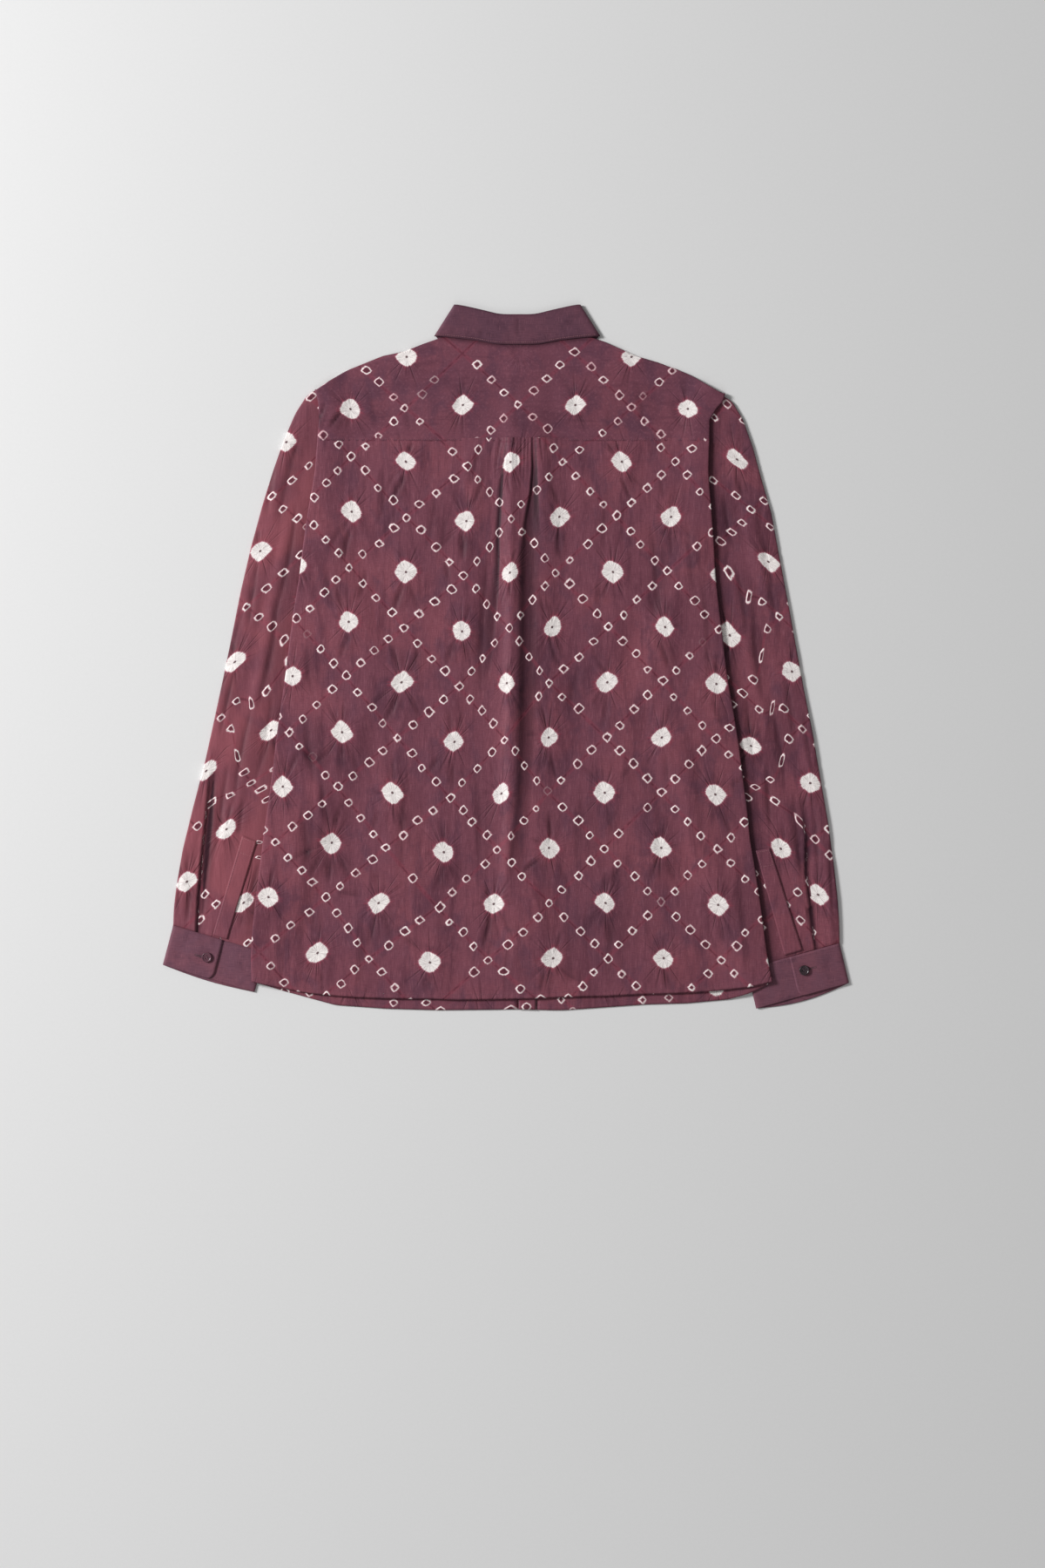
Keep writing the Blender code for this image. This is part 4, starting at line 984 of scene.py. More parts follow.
def make_placket(side, finish):
    solid = Solid(f"sleeve_placket_{side}")
    across = places((0, 1, 0.1))
    down = places((0, 1, 0.02))
    x, y = placket_grid(side, across, down)
    z = smoothed(solid.top(*placket_grid(side, mix(0.08, 0.92, across), mix(0.02, 0.98, down))), 2)
    z = z - 0.2 * bell(across[None, :] - 0.1, 0.05) - 0.2 * bell(across[None, :] - 0.9, 0.05)
    z = z + 0.15 * np.sin(down[:, None] * 19 + across[None, :] * 2)
    name = f"sleeve_placket_{side}_strip"
    plain = np.full(x.shape, 1.2)
    sheet = Sheet(name, x, y, z, (plain, plain), finish, BAND)
    ride(sheet.piece, "printed_silk", f"sleeve_placket_{side}")
    return sheet


# Stitching: every row of stitches is one mesh of small threads.


class Threads:
    SIDES = 4
    SWELL = ((0.0, 0.4), (0.25, 1.0), (0.75, 1.0), (1.0, 0.4))

    def __init__(self):
        self.points, self.faces = [], []

    def stitch(self, start, end, radius, arch=0.0):
        """A short thread between two places, swelling in its middle."""
        start, end = np.array(start, float), np.array(end, float)
        run = (end - start) / max(np.linalg.norm(end - start), 1e-6)
        side = np.cross(run, (0, 0, 1))
        side /= max(np.linalg.norm(side), 1e-6)
        up = np.cross(side, run)
        first = len(self.points)
        for t, swell in self.SWELL:
            middle = mix(start, end, t) + up * arch * 4 * t * (1 - t)
            for k in range(self.SIDES):
                turn = 2 * math.pi * (k + 0.5) / self.SIDES
                out = side * math.cos(turn) + up * math.sin(turn)
                self.points.append(tuple((middle + out * radius * swell) * MM))
        rings = len(self.SWELL)
        for ring in range(rings - 1):
            for k in range(self.SIDES):
                a = first + ring * self.SIDES + k
                b = first + ring * self.SIDES + (k + 1) % self.SIDES
                self.faces.append((a, b, b + self.SIDES, a + self.SIDES))
        self.faces.append(tuple(first + k for k in reversed(range(self.SIDES))))
        self.faces.append(tuple(first + (rings - 1) * self.SIDES + k for k in range(self.SIDES)))

    def row(self, sheets, path, pitch=2.5, gap=0.7, radius=0.2, sink=0.05):
        """Stitches end to end along a path of places, on the highest of the sheets under them."""
        path = np.array(path, float)
        steps = np.hypot(*np.diff(path, axis=0).T)
        travelled = np.concatenate([[0], np.cumsum(steps)])
        for start in np.arange(0, travelled[-1] - pitch, pitch):
            ends = []
            for at in (start, start + pitch - gap):
                x, y = (float(np.interp(at, travelled, path[:, k])) for k in (0, 1))
                heights = [sheet.height(x, y) for sheet in sheets]
                heights = [height for height in heights if height is not None]
                if heights:
                    ends.append((x, y, max(heights) - sink + 0.1))
            if len(ends) == 2:
                self.stitch(*ends, radius)

    def finish(self, name, material):
        return smooth_piece(name, self.points, self.faces, material)


def buttonhole(threads, middle, turn, length, z):
    """A slit whose two lips are oversewn, with a bar at each end."""
    run = np.array([math.cos(turn), math.sin(turn), 0])
    side = np.array([-run[1], run[0], 0])
    centre = np.array([*middle, z])
    for step in np.arange(-length / 2, length / 2, 0.42):
        for lip in (-1, 1):
            at = centre + run * step
            threads.stitch(at + side * lip * 0.25, at + side * lip * 1.15, 0.24)
    for end in (-1, 1):
        for step in np.arange(-1.2, 1.21, 0.4):
            at = centre + run * end * length / 2 + side * step
            threads.stitch(at - run * 0.35, at + run * 0.35, 0.24)


# Buttons.

BUTTON_RADIUS = 5.75
HOLE_REACH = 1.25
HOLE_RADIUS = 0.62


def button_height(r, turn, thick):
    """Upper face of a button: a rounded rim round a shallow dish with four holes."""
    rim = 1 - 0.3 * soft((r - 0.9 * BUTTON_RADIUS) / (0.1 * BUTTON_RADIUS))
    dish = 0.26 * soft((0.84 * BUTTON_RADIUS - r) / (0.18 * BUTTON_RADIUS))
    height = (rim - dish) * thick
    x, y = r * math.cos(turn), r * math.sin(turn)
    for hole_x in (-HOLE_REACH, HOLE_REACH):
        for hole_y in (-HOLE_REACH, HOLE_REACH):
            away = math.hypot(x - hole_x, y - hole_y)
            height -= 1.1 * soft((HOLE_RADIUS + 0.15 - away) / 0.3)
    return height


def make_button(node, x, y, bottom, thick, turn, finish, thread):
    reaches = [*np.arange(0.15, 2.7, 0.17), *np.arange(2.9, 5.2, 0.3)]
    reaches += [*np.linspace(5.2, BUTTON_RADIUS, 6)]
    turns = np.linspace(0, 2 * math.pi, 56, endpoint=False)
    rings = [[(r, a, button_height(r, a, thick)) for a in turns] for r in reaches]
    for share, rise in ((1, 0.35), (0.93, 0.08), (0.8, 0.0)):
        rings.append([(BUTTON_RADIUS * share, a, rise * thick) for a in turns])
    points = [(x, y, bottom + button_height(0, 0, thick))]
    for r, a, h in sum(rings, []):
        points.append((x + r * math.cos(a + turn), y + r * math.sin(a + turn), bottom + h))
    points.append((x, y, bottom))
    points = [tuple(MM * part for part in point) for point in points]
    count = len(turns)
    faces = []
    for k in range(count):
        n = (k + 1) % count
        faces.append((0, 1 + k, 1 + n))
        for ring in range(len(rings) - 1):
            a, b = 1 + ring * count + k, 1 + ring * count + n
            faces.append((a, a + count, b + count, b))
        last = 1 + (len(rings) - 1) * count
        faces.append((last + n, last + k, len(points) - 1))
    piece = smooth_piece(f"{node}_turned", points, faces, finish)
    ride(piece, "plum_button" if node.endswith("left") else "dark_button", node)
    strands = Threads()
    level = bottom + 0.76 * thick
    for side in (-1, 1):
        for shift in (-0.22, 0.0, 0.22):
            ends = []
            for end in (-1, 1):
                dx, dy = end * HOLE_REACH, side * HOLE_REACH + shift
                ends.append((
                    x + dx * math.cos(turn) - dy * math.sin(turn),
                    y + dx * math.sin(turn) + dy * math.cos(turn),
                    level - 0.12,
                ))
            strands.stitch(*ends, 0.17, 0.28)
    sewn = strands.finish(f"{node}_thread", thread)
    ride(sewn, "plain_silk")
    return piece


# Finishes.


def linear(rgb):
    """A colour as seen in daylight, 0 to 255, in the renderer's own scale."""
    parts = [c / 255 for c in rgb]
    return tuple(c / 12.92 if c < 0.04045 else ((c + 0.055) / 1.055) ** 2.4 for c in parts) + (1.0,)


class Value:
    """A number that changes over a surface, with the sums that are made with it."""

    def __init__(self, finish, socket):
        self.finish = finish
        self.socket = socket

    def maths(self, operation, *others):
        values = dict(enumerate((self, *others)))
        return self.finish.node("ShaderNodeMath", {"operation": operation}, values)

    def flipped(self, operation, first):
        values = {0: first, 1: self}
        return self.finish.node("ShaderNodeMath", {"operation": operation}, values)

    def fall(self, low, high):
        """1 up to one number, falling softly to 0 at another."""
        return self.ramp(low, high, 1.0, 0.0)

    def part(self, name):
        """Another output of the node that this value comes from."""
        return Value(self.finish, self.socket.node.outputs[name])

    def __add__(self, other):
        return self.maths("ADD", other)

    def __radd__(self, other):
        return self.flipped("ADD", other)

    def __sub__(self, other):
        return self.maths("SUBTRACT", other)

    def __rsub__(self, other):
        return self.flipped("SUBTRACT", other)

    def __mul__(self, other):
        return self.maths("MULTIPLY", other)

    def __rmul__(self, other):
        return self.flipped("MULTIPLY", other)

    def __truediv__(self, other):
        return self.maths("DIVIDE", other)

    def __abs__(self):
        return self.maths("ABSOLUTE")

    def ramp(self, low, high, to_low=0.0, to_high=1.0):
        """Runs softly from one number to another as this value goes from low to high."""
        names = ("Value", "From Min", "From Max", "To Min", "To Max")
        values = dict(zip(names, (self, low, high, to_low, to_high)))
        return self.finish.node("ShaderNodeMapRange", {"interpolation_type": "SMOOTHSTEP"}, values)


class Finish:
    """A Principled material whose colour, roughness and relief come from its nodes."""

    def __init__(self, name, **sockets):
        self.material = bpy.data.materials.new(name)
        self.material.use_nodes = True
        self.tree = self.material.node_tree
        self.shader = self.tree.nodes["Principled BSDF"]
        for socket, value in sockets.items():
            self.shader.inputs[socket.replace("_", " ")].default_value = value

    def node(self, kind, settings, values, output=0):
        node = self.tree.nodes.new(kind)
        for key, value in settings.items():
            setattr(node, key, value)
        for key, value in values.items():
            if isinstance(value, Value):
                self.tree.links.new(value.socket, node.inputs[key])
            else:
                node.inputs[key].default_value = value
        return Value(self, node.outputs[output])

    def feed(self, socket, value):
        self.tree.links.new(value.socket, self.shader.inputs[socket])

    def vector(self, x, y, z=0.0):
        return self.node("ShaderNodeCombineXYZ", {}, {"X": x, "Y": y, "Z": z})

    def cloth_place(self, scale):
        """The place on the shirt, in metres times a scale for each direction."""
        place = self.node("ShaderNodeTexCoord", {}, {}, "Object")
        return self.node("ShaderNodeVectorMath", {"operation": "MULTIPLY"}, {0: place, 1: scale})

    def noise(self, place, scale=1.0, detail=2.0, roughness=0.5, swirl=0.0):
        names = ("Vector", "Scale", "Detail", "Roughness", "Distortion")
        values = dict(zip(names, (place, scale, detail, roughness, swirl)))
        return self.node("ShaderNodeTexNoise", {}, values)

    def grain(self, scale, *rest, stretch=(1, 1, 1)):
        """Noise over the cloth, finer by a scale, and by a stretch that differs each way."""
        return self.noise(self.cloth_place(stretch), scale, *rest)

    def chances(self, i, j):
        """Three numbers by chance, the same over a whole step of the chart."""
        settings = {"noise_dimensions": "2D"}
        colour = self.node("ShaderNodeTexWhiteNoise", settings, {0: self.vector(i, j)}, 1)
        parts = self.node("ShaderNodeSeparateColor", {}, {0: colour})
        return [parts.part(name) for name in ("Red", "Green", "Blue")]

    def blend(self, amount, first, second):
        """A colour between two, each given as seen in daylight or as a mixed one."""
        first, second = (c if isinstance(c, Value) else linear(c) for c in (first, second))
        values = {0: amount, 6: first, 7: second}
        return self.node("ShaderNodeMix", {"data_type": "RGBA"}, values, 2)

    def relief(self, height, depth, strength=1.0):
        """A bump from a height that is given in a unit of depth, in metres."""
        values = {"Strength": strength, "Distance": depth, "Height": height}
        self.feed("Normal", self.node("ShaderNodeBump", {}, values))


GROUND = (122, 71, 85)
GROUND_RED = (134, 76, 88)
GROUND_WARM = (152, 84, 93)
GROUND_GREY = (102, 63, 79)
GROUND_DARK = (84, 45, 59)
# The darkest dye, used for the faint tie lines, and also as painted shade in creases and folds.
DEEP_DYE_AND_SHADE = (46, 22, 33)
RESIST = (252, 245, 242)
RESIST_GREY = (188, 172, 174)
PINK = (203, 136, 150)
HALO = (158, 60, 80)
INSIDE = (84, 38, 50)


def painted_shade_attribute(finish):
    """How much shade is painted on the cloth: in its creases, beside its pleats and where the body
    or the collar casts its shadow.
    """
    return finish.node("ShaderNodeAttribute", {"attribute_name": "painted_shade"}, {}, "Fac")


def silk_ground(finish, crosswise=False, warmth=0.0):
    """The unevenly dyed ground and the weave, with painted shade in drapes and creases: its colour,
    and the height of its threads.
    """
    weave_stretch, thread_stretch = (126.0, 1350.0, 1), (1200.0, 84.0, 1)
    if crosswise:
        weave_stretch, thread_stretch = (450.0, 378.0, 1), (336.0, 300.0, 1)
    drift = finish.grain(11.0, 3.0, 0.55, 0.6)
    patches = finish.grain(26.0, 4.0, 0.6, 0.4, stretch=(1.3, 0.8, 1))
    wide, long = ((12, 30, 1), (20, 230, 1)) if crosswise else ((42, 9, 1), (230, 20, 1))
    drapes = finish.grain(1.0, 3.0, 0.55, 0.8, stretch=wide)
    streaks = finish.grain(1.0, 3.0, 0.6, stretch=long)
    weave = finish.grain(1.0, 2.0, 0.6, stretch=weave_stretch)
    threads = finish.grain(1.0, 2.0, 0.5, stretch=thread_stretch)
    colour = finish.blend(drift.ramp(0.42, 0.66), GROUND, GROUND_RED)
    grey = patches.ramp(0.46, 0.68) * (1.0 if crosswise else 0.8)
    colour = finish.blend(grey, colour, GROUND_GREY)
    # Painted shade of the soft drapes, which the same noise also raises in the bump.
    colour = finish.blend(drapes.ramp(0.5, 0.7) * 0.45, colour, GROUND_DARK)
    colour = finish.blend(streaks.ramp(0.52, 0.74) * 0.4, colour, GROUND_DARK)
    colour = finish.blend(weave.ramp(0.45, 0.7) * 0.3, colour, GROUND_DARK)
    colour = finish.blend(threads.ramp(0.52, 0.72) * 0.14, colour, PINK)
    if warmth:
        colour = finish.blend(drift.ramp(0.38, 0.6, warmth * 0.4, warmth), colour, GROUND_WARM)
    if crosswise:
        colour = finish.blend(0.35, colour, GROUND_GREY)
    # Painted shade where the cloth is creased, folded or in a cast shadow.
    colour = finish.blend(painted_shade_attribute(finish) * 0.88, colour, DEEP_DYE_AND_SHADE)
    return colour, weave * 0.6 + threads * 0.4, drapes + streaks * 0.25


def knot_distance(x, y, squareness):
    """Distance from a knot's middle, measured so that its edge is a soft square on its corner."""
    round_way = (x * x + y * y).maths("SQRT")
    square_way = abs(x).maths("MAXIMUM", abs(y))
    return round_way * (1 - squareness) + square_way * squareness


def at_any(i, j, steps):
    """1 at any of a list of steps of the chart, and 0 elsewhere."""
    found = 0.0
    for a, b in steps:
        found = (abs(i - a) + abs(j - b)).maths("LESS_THAN", 0.5) + found
    return found


def printed_silk(
    name, crosswise=False, warmth=0.0, untied_rings=(), faint_rings=(), untied_spots=()
):
    """Silk tied and dyed by hand: open squares of small rings, with a spot inside each square."""
    finish = Finish(name, Specular_IOR_Level=0.12, Sheen_Weight=0.02)
    steps = finish.node("ShaderNodeUVMap", {"uv_map": "dye"}, {})
    apart = finish.node("ShaderNodeSeparateXYZ", {}, {0: steps})
    i, j = apart.part("X"), apart.part("Y")
    colour, weave, drapes = silk_ground(finish, crosswise, warmth)

    # The faint lines that the rings were tied along.
    off_i = abs(i - (i * 0.25 + 0.5).maths("FLOOR") * 4)
    off_j = abs(j - (j * 0.25 + 0.5).maths("FLOOR") * 4)
    line_wear = finish.noise(finish.vector(i, j, 3.0), 1.7, 3.0, 0.6)
    off_line = off_i.maths("MINIMUM", off_j) + (line_wear - 0.5) * 0.12
    line = off_line.fall(0.0, 0.09) * line_wear.ramp(0.4, 0.6)
    colour = finish.blend(off_line.fall(0.02, 0.16) * 0.22, colour, HALO)
    colour = finish.blend(line * 0.55, colour, DEEP_DYE_AND_SHADE)

    # The nearest ring, if a ring is tied at this step.
    ring_i, ring_j = (i + 0.5).maths("FLOOR"), (j + 0.5).maths("FLOOR")
    on_i = abs(ring_i * 0.25 - (ring_i * 0.25 + 0.5).maths("FLOOR")).maths("LESS_THAN", 0.1)
    on_j = abs(ring_j * 0.25 - (ring_j * 0.25 + 0.5).maths("FLOOR")).maths("LESS_THAN", 0.1)
    red, green, blue = finish.chances(ring_i, ring_j)
    x = i - ring_i - (red - 0.5) * 0.2
    y = j - ring_j - (green - 0.5) * 0.2
    wobble = finish.noise(finish.vector(i, j, blue * 9), 2.6, 2.0, 0.5)
    away = knot_distance(x, y, 0.62) + (wobble - 0.5) * 0.2
    reach = 0.142 + green * 0.045
    fray = finish.noise(finish.vector(i, j, 7.0), 13.0, 2.0, 0.6)
    off_ring = abs(away - reach) + (fray - 0.5) * 0.05
    gaps = finish.noise(finish.vector(i, j, red * 5), 4.5, 1.0, 0.5).ramp(0.34, 0.42)
    strength = on_i.maths("MAXIMUM", on_j) * red.ramp(0.02, 0.09) * (0.55 + gaps * 0.45)
    strength = strength * (1 - at_any(ring_i, ring_j, untied_rings))
    strength = strength * (1 - 0.75 * at_any(ring_i, ring_j, faint_rings))
    whiteness = 0.3 + blue * 0.7 if crosswise else 0.72 + blue * 0.28
    inside = away.fall(0.10, 0.2)
    colour = finish.blend(strength * inside * 0.7, colour, INSIDE)
    stroke = strength * off_ring.fall(0.017, 0.038) * whiteness
    colour = finish.blend(strength * off_ring.fall(0.026, 0.07) * 0.75, colour, PINK)
    colour = finish.blend(stroke, colour, RESIST)
    nipple = strength * inside

    # The nearest spot, with dye drawn out of it in red spikes and thread marks across it.
    spot_i = ((i - 2) * 0.25 + 0.5).maths("FLOOR") * 4 + 2
    spot_j = ((j - 2) * 0.25 + 0.5).maths("FLOOR") * 4 + 2
    red, green, blue = finish.chances(spot_i, spot_j)
    x = (i - spot_i) * (0.88 + blue * 0.24)
    y = (j - spot_j) * (1.12 - blue * 0.24)
    span = (x * x + y * y).maths("SQRT") + 0.0001
    way_x, way_y = x / span, y / span
    outline = finish.noise(finish.vector(way_x * 0.6, way_y * 0.6, red * 13), 1.5, 1.0, 0.5)
    spike_place = finish.vector(way_x * 2.2, way_y * 2.2, blue * 17 + span * 0.5)
    spikes = finish.noise(spike_place, 4.2, 3.0, 0.7)
    ray_place = finish.vector(way_x * 1.6, way_y * 1.6, green * 11 + span * 0.25)
    rays = finish.noise(ray_place, 3.2, 2.0, 0.65)
    away = knot_distance(x, y, 0.42) + (outline - 0.5) * 0.26 + (spikes - 0.5) * 0.12
    reach = 0.43 + green * 0.05
    past = away - reach + 2 * at_any(spot_i, spot_j, untied_spots)
    # Painted shade: dark wedges of the small creases that fan out of each spot, also sunk in the
    # bump.
    upright = abs(x - y) * 0.71 / span
    wedges = finish.noise(finish.vector(way_x * 1.3, way_y * 1.3, red * 23), 1.5, 0.0, 0.5)
    fold = abs(wedges - 0.5).fall(0.0, 0.05) * upright.ramp(0.45, 0.85)
    fold = fold * past.ramp(-0.02, 0.06) * past.fall(0.2, 1.4)
    colour = finish.blend(fold * 0.26, colour, DEEP_DYE_AND_SHADE)
    halo = past.fall(0.0, 0.3) * (0.1 + rays.ramp(0.46, 0.66) * 0.9)
    colour = finish.blend(halo * 0.5, colour, HALO)
    colour = finish.blend(past.fall(-0.01, 0.07) * 0.7, colour, PINK)
    grain = finish.grain(900.0, 3.0, 0.7)
    cracks = abs(rays - 0.5).fall(0.0, 0.035)
    cracks = cracks * (1 - (span * 1.6).maths("MINIMUM", 1.0) * 0.55)
    spot = finish.blend(grain.ramp(0.52, 0.75) * 0.55, RESIST, RESIST_GREY)
    spot = finish.blend(cracks * 0.75, spot, GROUND_GREY)
    eye = (span + (grain - 0.5) * 0.06).fall(0.04, 0.085) * past.fall(-0.1, 0.0)
    spot = finish.blend(eye * 0.9, spot, INSIDE)
    in_spot = past.fall(-0.022, 0.012)
    colour = finish.blend(in_spot, colour, spot)
    # Painted shade again, over the rings and spots, in the deepest folds.
    colour = finish.blend(painted_shade_attribute(finish).ramp(0.7, 1.0) * 0.6, colour, DEEP_DYE_AND_SHADE)

    near = span.ramp(0.12, 0.5) * span.fall(0.5, 1.5)
    ridges = rays * near * 1.1 + eye * 0.5 - fold * 0.5 - line * 0.25 + drapes * 1.1
    cloth_grain = finish.grain(190.0, 4.0, 0.6)
    finish.relief(weave * 0.05 + ridges + nipple * 0.55 + cloth_grain * 0.22, MM, 0.85)
    finish.feed("Base Color", colour)
    finish.feed("Roughness", 0.46 + weave * 0.14 + in_spot * 0.08)
    return finish.material


def plain_silk(name, light, ground, dark):
    """The plain dyed silk of the collar and cuffs."""
    finish = Finish(name, Specular_IOR_Level=0.14, Sheen_Weight=0.03)
    drift = finish.grain(22.0, 4.0, 0.6, 0.5)
    spots = finish.grain(75.0, 3.0, 0.6)
    weave = finish.grain(1.0, 2.0, 0.6, stretch=(90, 1400, 1))
    threads = finish.grain(1.0, 2.0, 0.5, stretch=(1200, 110, 1))
    colour = finish.blend(drift.ramp(0.38, 0.66), ground, light)
    colour = finish.blend(spots.ramp(0.5, 0.75) * 0.5, colour, dark)
    colour = finish.blend(weave.ramp(0.42, 0.72) * 0.5, colour, dark)
    colour = finish.blend(threads.ramp(0.55, 0.78) * 0.16, colour, PINK)
    # Painted shade where the piece's attribute holds it: puckers, edges and the stitched groove of
    # the collar.
    colour = finish.blend(painted_shade_attribute(finish) * 0.7, colour, DEEP_DYE_AND_SHADE)
    ripple = finish.grain(120.0, 3.0, 0.6)
    finish.relief(weave * 0.05 + threads * 0.04 + ripple * 0.25, MM, 0.8)
    finish.feed("Base Color", colour)
    finish.feed("Roughness", 0.44 + weave * 0.14)
    return finish.material


def sewing_thread(name, light, dark):
    finish = Finish(name, Sheen_Weight=0.1)
    twist = finish.grain(1600.0, 2.0, 0.6)
    finish.feed("Base Color", finish.blend(twist.ramp(0.4, 0.65), dark, light))
    finish.feed("Roughness", 0.5 + twist * 0.15)
    return finish.material


def button_finish(name, light, dark):
    """A pressed button with soft cloudy streaks."""
    finish = Finish(name, Coat_Weight=0.25, Coat_Roughness=0.15)
    clouds = finish.grain(260.0, 3.0, 0.55, 1.2, stretch=(1, 1.8, 1))
    scuffs = finish.grain(1500.0, 3.0, 0.7)
    finish.feed("Base Color", finish.blend(clouds.ramp(0.35, 0.68), dark, light))
    finish.feed("Roughness", 0.24 + scuffs * 0.2)
    finish.relief(scuffs * 0.2, MM * 0.1)
    return finish.material


def floor_finish():
    finish = Finish("pale_floor", Roughness=0.85)
    tooth = finish.grain(300.0, 2.0, 0.5)
    finish.feed("Base Color", finish.blend(tooth, (229, 229, 229), (232, 232, 232)))
    return finish.material


# The shirt.

print_finish = printed_silk("printed_silk")
yoke_finish = printed_silk(
    "printed_silk_across",
    crosswise=True,
    untied_rings=((-16, 16), (-16, 17), (-16, 15), (-17, 16), (-14, 12), (-12, 21), (-13, 20)),
    faint_rings=((-16, 14), (-16, 13)),
    untied_spots=((-14, 18),),
)
sleeve_finishes = {
    "left": printed_silk("printed_silk_warm", warmth=0.7),
    "right": printed_silk("printed_silk_right", untied_rings=((-4, 3),), untied_spots=((-2, 2),)),
}
plain_finish = plain_silk("plain_silk", (126, 78, 91), (115, 75, 90), (86, 54, 69))
collar_finish = plain_silk("plain_silk_collar", (108, 68, 82), (99, 64, 79), (74, 46, 60))
thread_finish = sewing_thread("silk_thread", (150, 96, 112), (104, 60, 76))
pale_thread = sewing_thread("pale_thread", (206, 150, 156), (150, 92, 102))
dark_thread = sewing_thread("dark_thread", (84, 56, 66), (56, 36, 46))
plum_finish = button_finish("plum_button", (116, 72, 86), (84, 48, 62))
horn_finish = button_finish("dark_button", (66, 48, 56), (38, 26, 32))

back, back_hem = make_back(print_finish)
yoke = make_yoke(yoke_finish)
front_left, hem_left = make_front("left", print_finish)
front_right, hem_right = make_front("right", print_finish)
placket_front = make_band("placket_front", "placket_front_band", print_finish)
button_band = make_band("button_band", "button_band_strip", print_finish)
sleeves = {side: make_sleeve(side, sleeve_finishes[side]) for side in ("left", "right")}
cuffs = {side: make_cuff(side, plain_finish) for side in ("left", "right")}
plackets = {side: make_placket(side, sleeve_finishes[side]) for side in ("left", "right")}
collar_fall = make_collar("collar_fall", "collar_fall_band", FALL, collar_finish, COLLAR_PUCKERS)
collar_stand = make_collar("collar_stand", "collar_stand_band", STAND, collar_finish, [])


def sew(name, slot, rows, thread=thread_finish):
    """Rows of stitches, each through one or more sheets."""
    threads = Threads()
    for sheets, path in rows:
        threads.row(sheets, path)
    piece = threads.finish(name, thread)
    ride(piece, slot)
    return piece


stitched = {}
HEM_INSET = 6.0
SEAM_INSET = 2.2
for node, seam, sheet, edge, inset, low, high, count in (
    ("back", "back_hem", back, back_hem, HEM_INSET, -288, 302, 160),
    ("yoke", "yoke_seam", yoke, even(YOKE_SEAM), SEAM_INSET, -214, 230, 80),
    ("front_left", "front_left_hem", front_left, hem_left, HEM_INSET, -268, 12, 80),
    ("front_right", "front_right_hem", front_right, hem_right, HEM_INSET, 36, 280, 80),
):
    path = [(x, float(edge(x)) + inset) for x in np.linspace(low, high, count)]
    stitched[node] = [sew(f"{seam}_stitches", "printed_silk", [([sheet], path)])]

fall_edge = between(FALL[:6], 8)
right_edge, left_edge = (
    [(COLLAR_MIDDLE + s * row[2], row[3] + STITCH_INSET) for row in fall_edge] for s in (1, -1)
)
path = left_edge[::-1] + right_edge[1:]
piece = sew("collar_stitches", "plain_silk", [([collar_fall], path)], pale_thread)
stitched["collar_fall"] = [piece]

for side in ("left", "right"):
    _, _, _, length = cuff_frame(side)
    low, high = 2.6, CUFF_HEIGHT - 2.6
    rows = [
        (np.linspace(3, CUFF_LAP - low, 20), [low]),
        ([CUFF_LAP - low], np.linspace(low, 36, 12)),
        (np.linspace(3, 50, 16), [high]),
        (np.linspace(CUFF_LAP + 2, length - 2, 16), [low]),
        (np.linspace(CUFF_LAP + 2, length - 2, 16), [high]),
    ]
    rows = [([cuffs[side]], [cuff_place(side, w, v) for w in ws for v in vs]) for ws, vs in rows]
    stitched[f"cuff_{side}"] = [sew(f"cuff_{side}_stitches", "plain_silk", rows)]
    strip = [plackets[side]]
    outer_edge = 0.1 if side == "left" else 0.9
    rows = [(strip, [placket_place(side, outer_edge, d) for d in np.linspace(0.16, 0.99, 30)])]
    box = [(0.1, 0.16), (0.1, 0.02), (0.9, 0.02), (0.9, 0.16), (0.1, 0.16)]
    corners = [placket_place(side, across, down) for across, down in box]
    stitched[f"placket_{side}"] = [
        sew(f"placket_{side}_stitches", "printed_silk", rows),
        sew(f"placket_{side}_box", "printed_silk", [(strip, corners)], pale_thread),
    ]

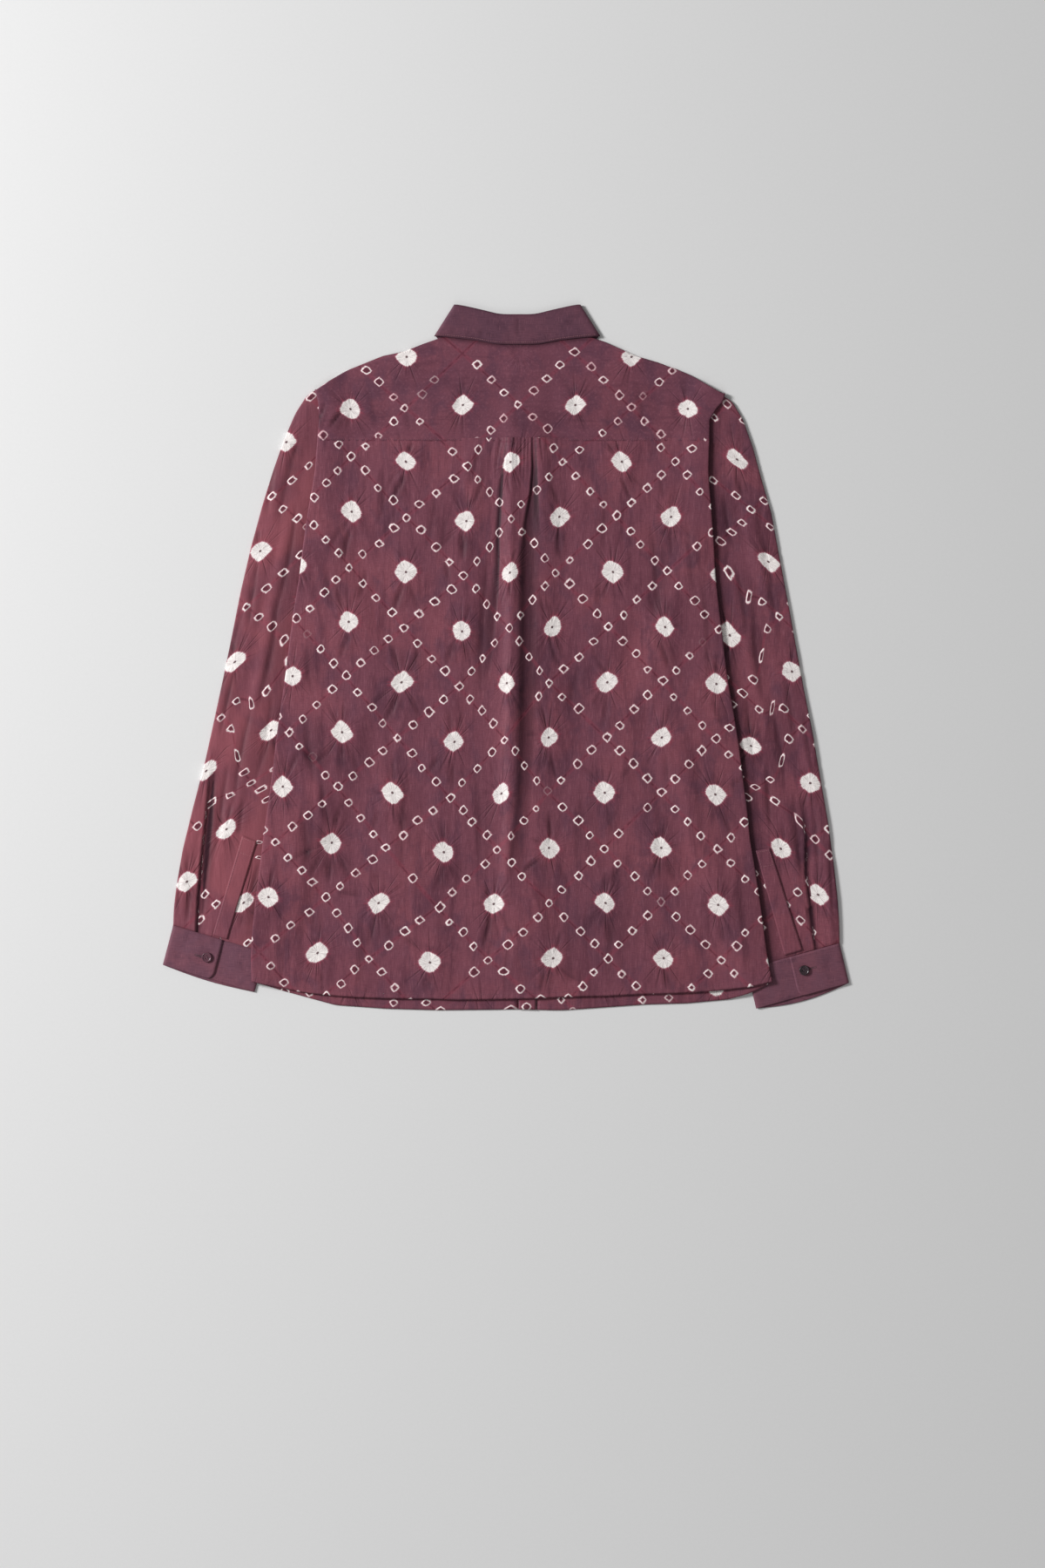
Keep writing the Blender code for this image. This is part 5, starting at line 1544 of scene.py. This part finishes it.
BUTTON_TURNS = {"left": 0.5, "right": 0.9}
CUFF_BUTTONS = (("left", plum_finish, thread_finish), ("right", horn_finish, dark_thread))
for side, finish, thread in CUFF_BUTTONS:
    x, y = cuff_place(side, CUFF_BUTTON_ALONG, CUFFS[side].button_down)
    make_button(f"button_cuff_{side}", x, y, 3.9, 2.4, BUTTON_TURNS[side], finish, thread)
    hole = Threads()
    _, run, _, _ = cuff_frame(side)
    sign = -1 if side == "left" else 1
    centre = (x + sign * 9.5, y + (1.5 if side == "left" else 2.5))
    buttonhole(hole, centre, math.atan2(run[1], run[0]), 9.0, 3.62)
    piece = hole.finish(f"buttonhole_{side}", dark_thread)
    ride(piece, "plain_silk")
    stitched[f"cuff_{side}"].append(piece)

for number in range(1, 7):
    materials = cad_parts[f"button_front_{number}"].data.materials
    materials.clear()
    materials.append(plum_finish)

# The floor, the light and the camera.

bpy.ops.mesh.primitive_plane_add(size=7, location=(0, 0, -0.0003))
floor = bpy.context.object
floor.name = "floor"
floor.data.materials.append(floor_finish())

world = bpy.data.worlds.new("studio")
bpy.context.scene.world = world
world.use_nodes = True
world.node_tree.nodes["Background"].inputs["Color"].default_value = (1.0, 1.0, 1.0, 1)
world.node_tree.nodes["Background"].inputs["Strength"].default_value = 0.22


def soft_light(name, place, aim, size, power):
    lamp = bpy.data.lights.new(name, "AREA")
    lamp.shape = "DISK"
    lamp.size = size
    lamp.energy = power
    light = bpy.data.objects.new(name, lamp)
    light.location = place
    light.rotation_euler = (Vector(aim) - Vector(place)).to_track_quat("-Z", "Y").to_euler()
    bpy.context.scene.collection.objects.link(light)


soft_light("window", (-3.7, 1.25, 2.5), (0, 0, 0), 1.3, 225)
soft_light("fill", (-0.3, -2.6, 2.4), (0, -0.6, 0), 2.0, 11)

CAMERA_HEIGHT = 3.2
VIEW = 1.8  # height of the picture on the floor, in metres
SENSOR = 36  # millimetres
lens = bpy.data.cameras.new("camera")
lens.sensor_width = SENSOR
lens.lens = SENSOR * CAMERA_HEIGHT / VIEW
camera = bpy.data.objects.new("camera", lens)
camera.location = (0.01903, -0.14505, CAMERA_HEIGHT)
bpy.context.scene.collection.objects.link(camera)
bpy.context.scene.camera = camera
bpy.context.scene.view_settings.view_transform = "Standard"
